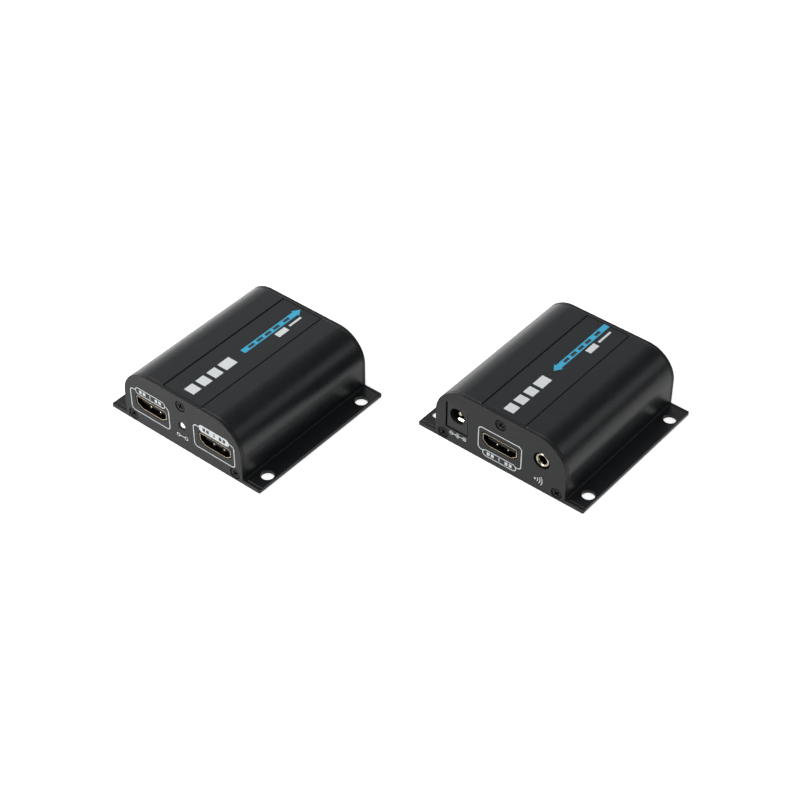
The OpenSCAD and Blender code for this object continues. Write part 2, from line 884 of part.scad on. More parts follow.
module sender_board() {
  color(board_green) difference() {
    blank_board();
    for (x = [loop_hdmi_x, input_hdmi_x])
      at_front(x) hdmi_legs(sender_hdmi_lift, -board_t - cut, slide_gap);
    at_rear(sender_dc_x) dc_tab(slide_gap);
    at_rear(sender_ir_x) ir_tab(slide_gap);
    at_rear(net_x) net_legs(slide_gap);
  }
}

module receiver_board() {
  color(board_green) difference() {
    blank_board();
    at_front(output_hdmi_x) hdmi_legs(receiver_hdmi_lift, -board_t - cut, slide_gap);
    at_front(receiver_dc_x) dc_tab(slide_gap);
    at_front(receiver_ir_x) ir_tab(slide_gap);
    at_rear(net_x) net_legs(slide_gap);
  }
}

// Board parts

// Puts a part on the board, y behind the front panel's face
module on_board(x, y) {
  translate([x, y, board_top_z]) children();
}

// A block on the board, centred on its place
module chip_block(size) {
  translate([-size[0] / 2, -size[1] / 2, 0]) cube(size);
}

// Puts a part at the video chip's place
module at_chip() {
  on_board(-chip_left, unit_l / 2 - chip_forward) children();
}

module video_chip() {
  color(black_plastic) at_chip() chip_block([chip_w, chip_w, chip_t]);
}

module heat_sink() {
  pitch = (chip_w - sink_fin_t) / (sink_fins - 1);
  color("#8f9396") at_chip() translate([-chip_w / 2, -chip_w / 2, chip_t]) union() {
    cube([chip_w, chip_w, sink_base_t]);
    for (i = [0 : sink_fins - 1])
      translate([i * pitch, 0, 0]) cube([sink_fin_t, chip_w, sink_h]);
  }
}

module small_chips() {
  color(black_plastic) {
    on_board(inner_w / 2 - memory_in, memory_y) chip_block(memory_size);
    on_board(buffer_in - inner_w / 2, buffer_y) chip_block(buffer_size);
  }
}

module transformer() {
  color(black_plastic) on_board(net_x, unit_l - transformer_back) chip_block(transformer_size);
}

module power_coil() {
  r = coil_corner_r;
  color("#3b3b3d") on_board(coil_in - inner_w / 2, coil_y) union() {
    for (x = [-1, 1], y = [-1, 1])
      translate([x * (coil_w / 2 - r), y * (coil_w / 2 - r), 0]) cylinder(r = r, h = coil_t);
    chip_block([coil_w - 2 * r, coil_w, coil_t]);
    chip_block([coil_w, coil_w - 2 * r, coil_t]);
  }
}

// Round can on a square base
module can_capacitor(d, h) {
  base = d + 2 * cap_base_margin;
  chip_block([base, base, cap_base_t]);
  cylinder(d = d, h = h);
}

module capacitors() {
  color("#b9bcc0") {
    on_board(cap_in - inner_w / 2, big_cap_y) union() can_capacitor(big_cap_d, big_cap_h);
    on_board(cap_in - inner_w / 2, small_cap_y) union() can_capacitor(small_cap_d, small_cap_h);
  }
}

// Metal can with round ends
module clock_crystal() {
  l = crystal_size[0];
  w = crystal_size[1];
  color(solder_tin) on_board(-crystal_left, unit_l - crystal_back) union() {
    for (side = [-1, 1]) translate([side * (l - w) / 2, 0, 0]) cylinder(d = w, h = crystal_size[2]);
    chip_block([l - w, w, crystal_size[2]]);
  }
}

in_sender() housing();  // sender_housing
in_sender() sender_front();  // sender_front_panel
in_sender() sender_rear();  // sender_rear_panel
in_sender() label_plate();  // sender_label_plate
in_sender() panel_screws();  // sender_front_screws
in_sender() rear_panel_screws();  // sender_rear_screws
in_sender() sender_board();  // sender_circuit_board
in_sender() at_front(input_hdmi_x) hdmi_shell(sender_hdmi_lift);  // sender_input_hdmi_shell
in_sender() at_front(input_hdmi_x) hdmi_insert(sender_hdmi_lift);  // sender_input_hdmi_insert
in_sender() at_front(input_hdmi_x) hdmi_contacts(sender_hdmi_lift);  // sender_input_hdmi_contacts
in_sender() at_front(loop_hdmi_x) hdmi_shell(sender_hdmi_lift);  // sender_loop_hdmi_shell
in_sender() at_front(loop_hdmi_x) hdmi_insert(sender_hdmi_lift);  // sender_loop_hdmi_insert
in_sender() at_front(loop_hdmi_x) hdmi_contacts(sender_hdmi_lift);  // sender_loop_hdmi_contacts
in_sender() at_front(0) link_lamp();  // sender_link_lamp
in_sender() at_front(0) lamp_holder();  // sender_lamp_holder
in_sender() at_rear(sender_dc_x) dc_body();  // sender_dc_jack_body
in_sender() at_rear(sender_dc_x) dc_terminals();  // sender_dc_jack_terminals
in_sender() at_rear(sender_dc_x) dc_leaf();  // sender_dc_jack_leaf
in_sender() at_rear(sender_ir_x) ir_body();  // sender_ir_jack_body
in_sender() at_rear(sender_ir_x) ir_terminals();  // sender_ir_jack_terminals
in_sender() at_rear(sender_ir_x) ir_spring();  // sender_ir_jack_spring
in_sender() at_rear(net_x) net_body();  // sender_network_jack_body
in_sender() at_rear(net_x) net_shield();  // sender_network_jack_shield
in_sender() at_rear(net_x) net_contact_wires();  // sender_network_jack_wires
in_sender() at_rear(net_x) net_lights();  // sender_network_jack_lights
in_sender() video_chip();  // sender_video_chip
in_sender() heat_sink();  // sender_heat_sink
in_sender() small_chips();  // sender_small_chips
in_sender() transformer();  // sender_network_transformer
in_sender() power_coil();  // sender_power_coil
in_sender() capacitors();  // sender_capacitors
in_sender() clock_crystal();  // sender_clock_crystal
in_receiver() housing();  // receiver_housing
in_receiver() receiver_front();  // receiver_front_panel
in_receiver() receiver_rear();  // receiver_rear_panel
in_receiver() label_plate();  // receiver_label_plate
in_receiver() panel_screws();  // receiver_front_screws
in_receiver() rear_panel_screws();  // receiver_rear_screws
in_receiver() receiver_board();  // receiver_circuit_board
in_receiver() at_front(output_hdmi_x) hdmi_shell(receiver_hdmi_lift);  // receiver_hdmi_shell
in_receiver() at_front(output_hdmi_x) hdmi_insert(receiver_hdmi_lift);  // receiver_hdmi_insert
in_receiver() at_front(output_hdmi_x) hdmi_contacts(receiver_hdmi_lift);  // receiver_hdmi_contacts
in_receiver() at_front(receiver_dc_x) dc_body();  // receiver_dc_jack_body
in_receiver() at_front(receiver_dc_x) dc_terminals();  // receiver_dc_jack_terminals
in_receiver() at_front(receiver_dc_x) dc_leaf();  // receiver_dc_jack_leaf
in_receiver() at_front(receiver_ir_x) ir_body();  // receiver_ir_jack_body
in_receiver() at_front(receiver_ir_x) ir_terminals();  // receiver_ir_jack_terminals
in_receiver() at_front(receiver_ir_x) ir_spring();  // receiver_ir_jack_spring
in_receiver() at_rear(net_x) net_body();  // receiver_network_jack_body
in_receiver() at_rear(net_x) net_shield();  // receiver_network_jack_shield
in_receiver() at_rear(net_x) net_contact_wires();  // receiver_network_jack_wires
in_receiver() at_rear(net_x) net_lights();  // receiver_network_jack_lights
in_receiver() video_chip();  // receiver_video_chip
in_receiver() heat_sink();  // receiver_heat_sink
in_receiver() small_chips();  // receiver_small_chips
in_receiver() transformer();  // receiver_network_transformer
in_receiver() power_coil();  // receiver_power_coil
in_receiver() capacitors();  // receiver_capacitors
in_receiver() clock_crystal();  // receiver_clock_crystal
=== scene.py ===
"""Looks of a two-box extender set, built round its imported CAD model.

The sender stands at the left front and the receiver at the right rear. Every length in the
mesh code is a millimetre, measured in one box: x across from the middle of the box, y back
from its front face and z up. mm_matrix() turns that into metres in the shared frame.
"""

from math import atan2, cos, pi, radians, sin, tan

import bmesh
import bpy
from bpy.props import FloatProperty, FloatVectorProperty, PointerProperty
from mathutils import Matrix, Vector
from mathutils.geometry import tessellate_polygon


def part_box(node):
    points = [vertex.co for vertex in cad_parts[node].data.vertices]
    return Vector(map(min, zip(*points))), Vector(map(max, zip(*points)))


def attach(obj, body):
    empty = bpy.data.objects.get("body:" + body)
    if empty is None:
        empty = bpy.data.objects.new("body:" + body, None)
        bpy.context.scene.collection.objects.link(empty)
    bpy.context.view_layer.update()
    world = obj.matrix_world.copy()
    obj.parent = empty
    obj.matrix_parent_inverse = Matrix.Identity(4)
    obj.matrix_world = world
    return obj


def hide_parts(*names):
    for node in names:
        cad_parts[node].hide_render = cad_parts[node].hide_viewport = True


bl_info = {
    "name": "Extender Set",
    "version": (1, 0, 0),
    "blender": (4, 5, 0),
    "location": "3D View > Sidebar > Extender",
    "description": "Builds the visible pieces and finishes of a sender and receiver box pair",
    "category": "Object",
}

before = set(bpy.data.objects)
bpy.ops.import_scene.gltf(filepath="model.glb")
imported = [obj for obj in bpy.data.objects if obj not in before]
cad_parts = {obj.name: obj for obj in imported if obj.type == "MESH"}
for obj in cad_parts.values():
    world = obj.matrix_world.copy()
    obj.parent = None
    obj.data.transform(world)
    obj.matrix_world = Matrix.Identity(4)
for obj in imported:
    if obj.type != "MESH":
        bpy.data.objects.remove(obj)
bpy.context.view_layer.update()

# Sizes that the pieces share with the CAD, in millimetres
BODY_W = 56.6
FLANGE_W = 72.0
BOX_L = 66.0
BOX_H = 24.0
SHOULDER_R = 12.0
WALL = 1.5
FLANGE_T = 1.6
PANEL_T = 1.5
ROOF_T = 1.95
RECESS_W = 18.9
RECESS_D = 0.45
FILM_W = 17.9
FILM_T = 0.35
# Space between the film's end and the rear panel
REAR_GAP = 0.55
# Flange holes, from the middle of the box
HOLE_R = 2.4
HOLE_X = 32.8
HOLE_Y = 25.2
# Top of the circuit board, and how far above it the axes of the round sockets and the lamp are
BOARD_TOP = 7.0
DC_AXIS = 6.6
IR_AXIS = 7.1
LAMP_AXIS = 3.95
# Metal of the picture sockets, from the middle of its thickness
HDMI_HALF = 7.25
HDMI_FOOT_HALF = 4.9
HDMI_RISE = 1.6
HDMI_H = 4.8
SHELL_T = 0.3
BOXES = ("sender", "receiver")
# An end's name by whether it is the rear one
ENDS = ("front", "rear")
# Centres of the three screws of a panel, across and up
SCREWS = ((-24.7, 3.0), (24.7, 3.0), (0.0, 20.1))
# Sockets: box, name, place across the box, height over the board
PICTURE_SOCKETS = (
    ("sender", "sender_loop_hdmi", -14.9, 1.0),
    ("sender", "sender_input_hdmi", 15.9, 1.0),
    ("receiver", "receiver_hdmi", 0.0, 0.65),
)
# Sockets: box, place across the box, whether on its rear
POWER_JACKS = (("sender", -18.0, True), ("receiver", -18.65, False))
INFRARED_JACKS = (("sender", -4.325, True), ("receiver", 17.8, False))
NETWORK_X = 12.8
# Openings of the panels: left, right, low and high sides, seen from outside
POWER_HOLES = {
    ("receiver", False): (-23.75, -13.95, 6.4, 18.1),
    ("sender", True): (13.25, 22.75, 6.75, 18.25),
}
NETWORK_HOLE = (-NETWORK_X - 8.2, -NETWORK_X + 8.2, 6.75, 20.4)
# Radii of the round openings, and the rounding of their edges
SCREW_HOLE = (2.28, 0.14)
LAMP_HOLE = (1.77, 0.12)
IR_HOLE = (3.45, 0.15)
HOLE_EDGE = 0.12

# Shapes


def arc(cx, cz, r, start, end, steps):
    """Points on an arc, angles in radians."""
    return [
        (cx + r * cos(start + (end - start) * k / steps), cz + r * sin(start + (end - start) * k / steps))
        for k in range(steps + 1)
    ]


def circle(cx, cz, r, steps=48):
    """A closed round outline, anticlockwise."""
    return arc(cx, cz, r, 0, 2 * pi, steps)[:-1]


def rounded(corners):
    """A closed outline from (x, z, radius) corners. Long arcs get more points than short ones."""
    fineness = 0.12
    out = []
    count = len(corners)
    for i, (x, z, r) in enumerate(corners):
        before = Vector(corners[i - 1][:2]) - Vector((x, z))
        after = Vector(corners[(i + 1) % count][:2]) - Vector((x, z))
        if r <= 0:
            out.append((x, z))
            continue
        u, v = before.normalized(), after.normalized()
        half = u.angle(v) / 2
        centre = Vector((x, z)) + (u + v).normalized() * (r / sin(half))
        first = Vector((x, z)) + u * (r / tan(half)) - centre
        last = Vector((x, z)) + v * (r / tan(half)) - centre
        start = atan2(first.y, first.x)
        sweep = (atan2(last.y, last.x) - start + pi) % (2 * pi) - pi
        steps = max(4, int(abs(sweep) * (r ** 0.5) / fineness))
        out += arc(centre.x, centre.y, r, start, start + sweep, steps)
    return out


def box_outline(x0, x1, z0, z1, r):
    """A rectangle with rounded corners, anticlockwise."""
    return rounded([(x, z, r) for x, z in rectangle(x0, x1, z0, z1)])


def rectangle(x0, x1, z0, z1):
    """The corners of a rectangle, anticlockwise."""
    return [(x0, z0), (x1, z0), (x1, z1), (x0, z1)]


def with_mirror(corners):
    """The corners of a right half, followed by those of the left half that mirrors it."""
    return corners + [(-x, z, r) for x, z, r in reversed(corners)]


def moved(loop, x, z):
    """The outline moved across and up."""
    return [(a + x, b + z) for a, b in loop]


def shifted(loop, by):
    """The outline moved to its left by that distance, with its corners kept sharp."""
    out = []
    count = len(loop)
    for i in range(count):
        here = Vector(loop[i])
        a = (here - Vector(loop[i - 1])).normalized()
        b = (Vector(loop[(i + 1) % count]) - here).normalized()
        left = Vector((-a.y, a.x)) + Vector((-b.y, b.x))
        left.normalize()
        reach = max(0.5, left.dot(Vector((-a.y, a.x))))
        out.append((here.x + left.x * by / reach, here.y + left.y * by / reach))
    return out


def ring(bm, loop, y):
    """Vertices of an outline at one depth."""
    return [bm.verts.new((x, y, z)) for x, z in loop]


def bridge(bm, a, b, closed=True):
    """Faces between two rows of vertices."""
    count = len(a)
    for i in range(count if closed else count - 1):
        j = (i + 1) % count
        bm.faces.new((a[i], a[j], b[j], b[i]))


def fill(bm, rows):
    """A flat face with holes, from closed rows of vertices, without sliver triangles."""
    points = [v for row in rows for v in row]
    flat = [[Vector((v.co.x, v.co.z, 0)) for v in row] for row in rows]
    made = [bm.faces.new((points[a], points[b], points[c])) for a, b, c in tessellate_polygon(flat)]
    bmesh.ops.beautify_fill(bm, faces=made, edges=list({e for face in made for e in face.edges}))


def plate(outline, holes, y0, y1, rim, steps=3, bm=None, extra=()):
    """A plate in depth from y0 to y1 with rounded edges.

    outline runs anticlockwise. holes are (anticlockwise outline, edge rounding) pairs.
    extra are more depths that get a row of vertices.
    """
    bm = bm or bmesh.new()
    fronts, backs = [], []
    turns = [pi / 2 * k / steps for k in range(steps + 1)]
    for loop, r in [(outline, rim)] + [(hole[::-1], edge) for hole, edge in holes]:
        rows = [(r * (1 - sin(a)), y0 + r * (1 - cos(a))) for a in turns]
        rows += [(0, y) for y in extra]
        rows += [(r * (1 - sin(a)), y1 - r * (1 - cos(a))) for a in reversed(turns)]
        made = [ring(bm, shifted(loop, by) if by > 1e-6 else loop, y) for by, y in rows]
        for a, b in zip(made, made[1:]):
            bridge(bm, a, b)
        fronts.append(made[0])
        backs.append(made[-1])
    fill(bm, fronts)
    fill(bm, backs)
    return bm


def wall(loop, section):
    """A thin wall along a closed outline. section is a closed list of (shift to the left, y)."""
    bm = bmesh.new()
    rows = [ring(bm, shifted(loop, by), y) for by, y in section]
    for a, b in zip(rows, rows[1:] + rows[:1]):
        bridge(bm, a, b)
    return bm


def lathe(profile, steps=48, z=0.0):
    """A turned piece about an axis along y, from (radius, y) points.

    A radius of zero closes an end. A profile that ends where it starts makes a ring.
    """
    bm = bmesh.new()
    rows = []
    hollow = profile[0] == profile[-1]
    for r, y in profile[1:] if hollow else profile:
        if r <= 1e-6:
            rows.append([bm.verts.new((0, y, z))])
        else:
            rows.append(ring(bm, circle(0, z, r, steps), y))
    pairs = list(zip(rows, rows[1:])) + ([(rows[-1], rows[0])] if hollow else [])
    for a, b in pairs:
        if len(a) == 1 or len(b) == 1:
            tip, row = (a, b) if len(a) == 1 else (b, a)
            for i in range(len(row)):
                bm.faces.new((tip[0], row[i], row[(i + 1) % len(row)]))
        else:
            bridge(bm, a, b)
    return bm


def block(x0, x1, y0, y1, z0, z1, rim, bm=None):
    """A box with rounded edges."""
    return plate(box_outline(x0, x1, z0, z1, rim * 1.5), [], y0, y1, rim, steps=2, bm=bm)


def smooth_path(points):
    """More points on a smooth curve through the given ones."""
    steps = 6
    out = []
    for i in range(len(points) - 1):
        p0 = Vector(points[max(i - 1, 0)])
        p1, p2 = Vector(points[i]), Vector(points[i + 1])
        p3 = Vector(points[min(i + 2, len(points) - 1)])
        for k in range(steps):
            t = k / steps
            out.append(
                0.5 * (2 * p1 + (p2 - p0) * t + (2 * p0 - 5 * p1 + 4 * p2 - p3) * t * t
                       + (3 * p1 - p0 - 3 * p2 + p3) * t ** 3)
            )
    out.append(Vector(points[-1]))
    return out


def strip(points, width, thick, along="x", bm=None, middle=0.0):
    """A bent strip of sheet metal through (y, z) points, or through (y, x) points along z."""
    bm = bm or bmesh.new()
    path = smooth_path(points)
    upper, lower = [], []
    for i, p in enumerate(path):
        d = (path[min(i + 1, len(path) - 1)] - path[max(i - 1, 0)]).normalized()
        left = Vector((-d.y, d.x)) * thick / 2
        upper.append(p + left)
        lower.append(p - left)
    loop = upper + lower[::-1]

    rows = []
    edge = min(thick, width) * 0.2
    for side, pull in ((-width / 2, edge), (-width / 2 + edge, 0), (width / 2 - edge, 0), (width / 2, edge)):
        flat = [(p.x, p.y) for p in loop]
        if pull:
            flat = shifted(flat, -pull if signed_area(flat) < 0 else pull)
        across = middle + side
        rows.append([bm.verts.new((across, y, z) if along == "x" else (z, y, across)) for y, z in flat])
    for a, b in zip(rows, rows[1:]):
        bridge(bm, a, b)
    bm.faces.new(rows[0])
    bm.faces.new(rows[-1])
    return bm


def signed_area(loop):
    """Positive for an anticlockwise outline."""
    return sum(a[0] * b[1] - b[0] * a[1] for a, b in zip(loop, loop[1:] + loop[:1])) / 2


def tube(bm, points, r):
    """Adds a round wire through 3-D points with drawn-in ends."""
    steps = 10
    rows = []
    count = len(points)
    for i, p in enumerate(points):
        d = (points[min(i + 1, count - 1)] - points[max(i - 1, 0)]).normalized()
        last = rows[-1][1] if rows else d.orthogonal()
        side = (last - last.dot(d) * d).normalized()
        up = d.cross(side)
        size = r * (0.45 if i in (0, count - 1) else 1)
        row = [bm.verts.new(p + (side * cos(a) + up * sin(a)) * size)
               for a in (2 * pi * k / steps for k in range(steps))]
        rows.append((row, side))
    for a, b in zip(rows, rows[1:]):
        bridge(bm, a[0], b[0])
    bm.faces.new(rows[0][0])
    bm.faces.new(rows[-1][0])


def ribbon(bm, face, points, width, closed=False):
    """Adds a printed line of one width. points are (x, z), and face maps (x, z, height) to a place."""
    count = len(points)
    inner, outer = [], []
    for i in range(count):
        here = Vector(points[i])
        back = Vector(points[i - 1]) if closed or i else None
        ahead = Vector(points[(i + 1) % count]) if closed or i < count - 1 else None
        a = (here - back).normalized() if back is not None else (ahead - here).normalized()
        b = (ahead - here).normalized() if ahead is not None else a
        left = (Vector((-a.y, a.x)) + Vector((-b.y, b.x))).normalized()
        reach = max(0.4, left.dot(Vector((-a.y, a.x)))) * 2 / width
        inner.append(here + left / reach)
        outer.append(here - left / reach)
    top = setting("ink")
    rows = [[bm.verts.new(face(p.x, p.y, height)) for p in side]
            for side, height in ((inner, 0), (inner, top), (outer, top), (outer, 0))]
    for a, b in zip(rows, rows[1:] + rows[:1]):
        bridge(bm, a, b, closed)
    if not closed:
        for k in (0, -1):
            bm.faces.new([row[k] for row in rows])


def patch(bm, face, loop):
    """Adds a printed area inside an outline."""
    low, top = ([bm.verts.new(face(x, z, height)) for x, z in loop] for height in (0, setting("ink")))
    bridge(bm, low, top)
    bm.faces.new(top)
    bm.faces.new(low)


def placed(x, y, z, angle, axis):
    """A matrix that turns about an axis and then moves."""
    return Matrix.Translation((x, y, z)) @ Matrix.Rotation(angle, 4, axis)


def mm_matrix(box, x=0.0, z=0.0, rear=False):
    """From millimetres in a box, or in a socket at x and z on its front or rear, to metres in the frame."""
    low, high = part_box(f"{box}_front_panel")
    origin = Vector(((low.x + high.x) / 2, low.y, 0))
    place = placed(x, BOX_L, z, pi, "Z") if rear else Matrix.Translation((x, 0, z))
    return Matrix.Translation(origin) @ Matrix.Scale(0.001, 4) @ place


def piece(name, bm, finishes, box, matrix, replaces=(), body=None, sharp=32, weighted=True):
    """Turns a mesh in millimetres into a piece on its body, with one finish or more by name."""
    bmesh.ops.recalc_face_normals(bm, faces=bm.faces)
    bm.transform(matrix)
    mesh = bpy.data.meshes.new(name)
    bm.to_mesh(mesh)
    bm.free()
    mesh.shade_smooth()
    mesh.set_sharp_from_angle(angle=radians(sharp))
    obj = bpy.data.objects.new(name, mesh)
    bpy.context.scene.collection.objects.link(obj)
    for one in (finishes,) if isinstance(finishes, str) else finishes:
        mesh.materials.append(finish(one))
    if weighted:
        normals = obj.modifiers.new("Weighted normals", "WEIGHTED_NORMAL")
        normals.keep_sharp = True
    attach(obj, body or box)
    if replaces:
        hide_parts(*replaces)


def join(bm, other, matrix):
    """Adds the second mesh to the first, moved by the matrix."""
    other.transform(matrix)
    mesh = bpy.data.meshes.new("joining")
    other.to_mesh(mesh)
    other.free()
    bm.from_mesh(mesh)
    bpy.data.meshes.remove(mesh)


def cut(bm, cutter):
    """The first mesh with the second one cut out of it."""
    pair = []
    for part in (bm, cutter):
        bmesh.ops.recalc_face_normals(part, faces=part.faces)
        mesh = bpy.data.meshes.new("cutting")
        part.to_mesh(mesh)
        part.free()
        obj = bpy.data.objects.new("cutting", mesh)
        bpy.context.scene.collection.objects.link(obj)
        pair.append(obj)
    boolean = pair[0].modifiers.new("Cut", "BOOLEAN")
    boolean.operation = "DIFFERENCE"
    boolean.solver = "EXACT"
    boolean.object = pair[1]
    bpy.context.view_layer.update()
    done = pair[0].evaluated_get(bpy.context.evaluated_depsgraph_get()).to_mesh()
    out = bmesh.new()
    out.from_mesh(done)
    for obj in pair:
        mesh = obj.data
        bpy.data.objects.remove(obj)
        bpy.data.meshes.remove(mesh)
    return out


# Finishes


def linear(hex_colour):
    """An sRGB hex colour as linear red, green, blue and alpha."""
    out = []
    for k in (1, 3, 5):
        v = int(hex_colour[k:k + 2], 16) / 255
        out.append(v / 12.92 if v <= 0.04045 else ((v + 0.055) / 1.055) ** 2.4)
    return (*out, 1.0)


def add(tree, kind, values=None, links=None, **settings):
    """Adds a shader node with its settings, unlinked values and links."""
    made = tree.nodes.new("ShaderNode" + kind)
    for key, value in settings.items():
        setattr(made, key, value)
    for key, value in (values or {}).items():
        made.inputs[key].default_value = value
    for key, source in (links or {}).items():
        tree.links.new(source, made.inputs[key])
    return made


def new_material(name, values):
    """A material with one principled shader, and its node tree and shader."""
    mat = bpy.data.materials.new(name)
    mat.use_nodes = True
    tree = mat.node_tree
    shader = tree.nodes["Principled BSDF"]
    for key, value in values.items():
        shader.inputs[key].default_value = value
    return mat, tree, shader


def grain(tree, shader, size_mm, bump, rough, spread, stretch):
    """Fine relief of one grain size, and roughness that strays a little from patch to patch."""
    place = add(tree, "TexCoord").outputs["Object"]
    scaled = add(tree, "Mapping", {"Scale": stretch}, {"Vector": place}).outputs["Vector"]
    fine = add(tree, "TexNoise", {"Scale": 1000 / size_mm, "Detail": 2.0, "Roughness": 0.55},
               {"Vector": scaled}).outputs["Fac"]
    broad = add(tree, "TexNoise", {"Scale": 1000 / PATCH_MM, "Detail": 1.0},
                {"Vector": place}).outputs["Fac"]
    relief = add(tree, "Bump", {"Strength": bump, "Distance": size_mm * RELIEF}, {"Height": fine})
    tree.links.new(relief.outputs["Normal"], shader.inputs["Normal"])
    low, high = NOISE_RANGE
    varied = add(tree, "MapRange", {"From Min": low, "From Max": high, "To Min": rough - spread,
                                    "To Max": rough + spread}, {"Value": broad}).outputs["Result"]
    tree.links.new(varied, shader.inputs["Roughness"])
    return fine, broad


def tint(colour):
    """A hex colour, or one of the set's settings by name, as linear red, green, blue and alpha."""
    if colour.startswith("#"):
        return linear(colour)
    return (*getattr(bpy.context.scene.extender_colours, colour), 1.0)


def surface(name, colour, rough, spread, size_mm, bump, mottle=0.06, stretch=(1, 1, 1), edge_wear_and_highlight=None,
            sockets=None):
    """A material with grain. rough strays by spread, size_mm is the grain's size and bump its strength.

    mottle is how far the colour strays. worn is the colour painted along rounded edges: partly rubbed wear,
    partly a painted highlight.
    """
    mat, tree, shader = new_material(name, sockets or {})
    fine, broad = grain(tree, shader, size_mm, bump, rough, spread, stretch)
    ramp = add(tree, "ValToRGB", {}, {"Fac": broad})
    for point, level, place in zip(ramp.color_ramp.elements, (1 - mottle, 1 + mottle), NOISE_RANGE):
        point.color = tuple(min(1, c * level) for c in tint(colour)[:3]) + (1,)
        point.position = place
    shown = ramp.outputs["Color"]
    # A lighter colour is painted along rounded edges: partly rubbed wear, partly a painted highlight where
    # edges catch the light
    if edge_wear_and_highlight:
        rounded_off = add(tree, "Bevel", {"Radius": WEAR_AND_HIGHLIGHT_WIDTH}, samples=4).outputs["Normal"]
        flat = add(tree, "NewGeometry").outputs["True Normal"]
        turned = add(tree, "VectorMath", {}, {0: rounded_off, 1: flat},
                     operation="DOT_PRODUCT").outputs["Value"]
        wear_and_highlight_mask = add(tree, "MapRange", {"From Min": 0.97, "From Max": 0.80, "To Max": 0.45},
                     {"Value": turned}).outputs["Result"]
        broken_wear_and_highlight = add(tree, "Math", {}, {0: wear_and_highlight_mask, 1: fine}, operation="MULTIPLY").outputs[0]
        mix = add(tree, "Mix", {7: tint(edge_wear_and_highlight)}, {0: broken_wear_and_highlight, 6: shown}, data_type="RGBA")
        shown = mix.outputs[2]
    tree.links.new(shown, shader.inputs["Base Color"])
    return mat


# Size of the broad patches in which colour and roughness stray, in millimetres
PATCH_MM = 9.0
# Nearly all of a noise's values lie between these
NOISE_RANGE = (0.3, 0.7)
# Height of the grain's relief in metres for each millimetre of its size
RELIEF = 0.00016
# How far from an edge the rubbed wear and the painted edge highlight reach, in metres
WEAR_AND_HIGHLIGHT_WIDTH = 0.0004
METAL = {"Metallic": 1.0}
SATIN = {"Specular IOR Level": 0.4}
ACROSS_Y = (1, 0.15, 1)
ACROSS_Z = (1, 1, 0.2)
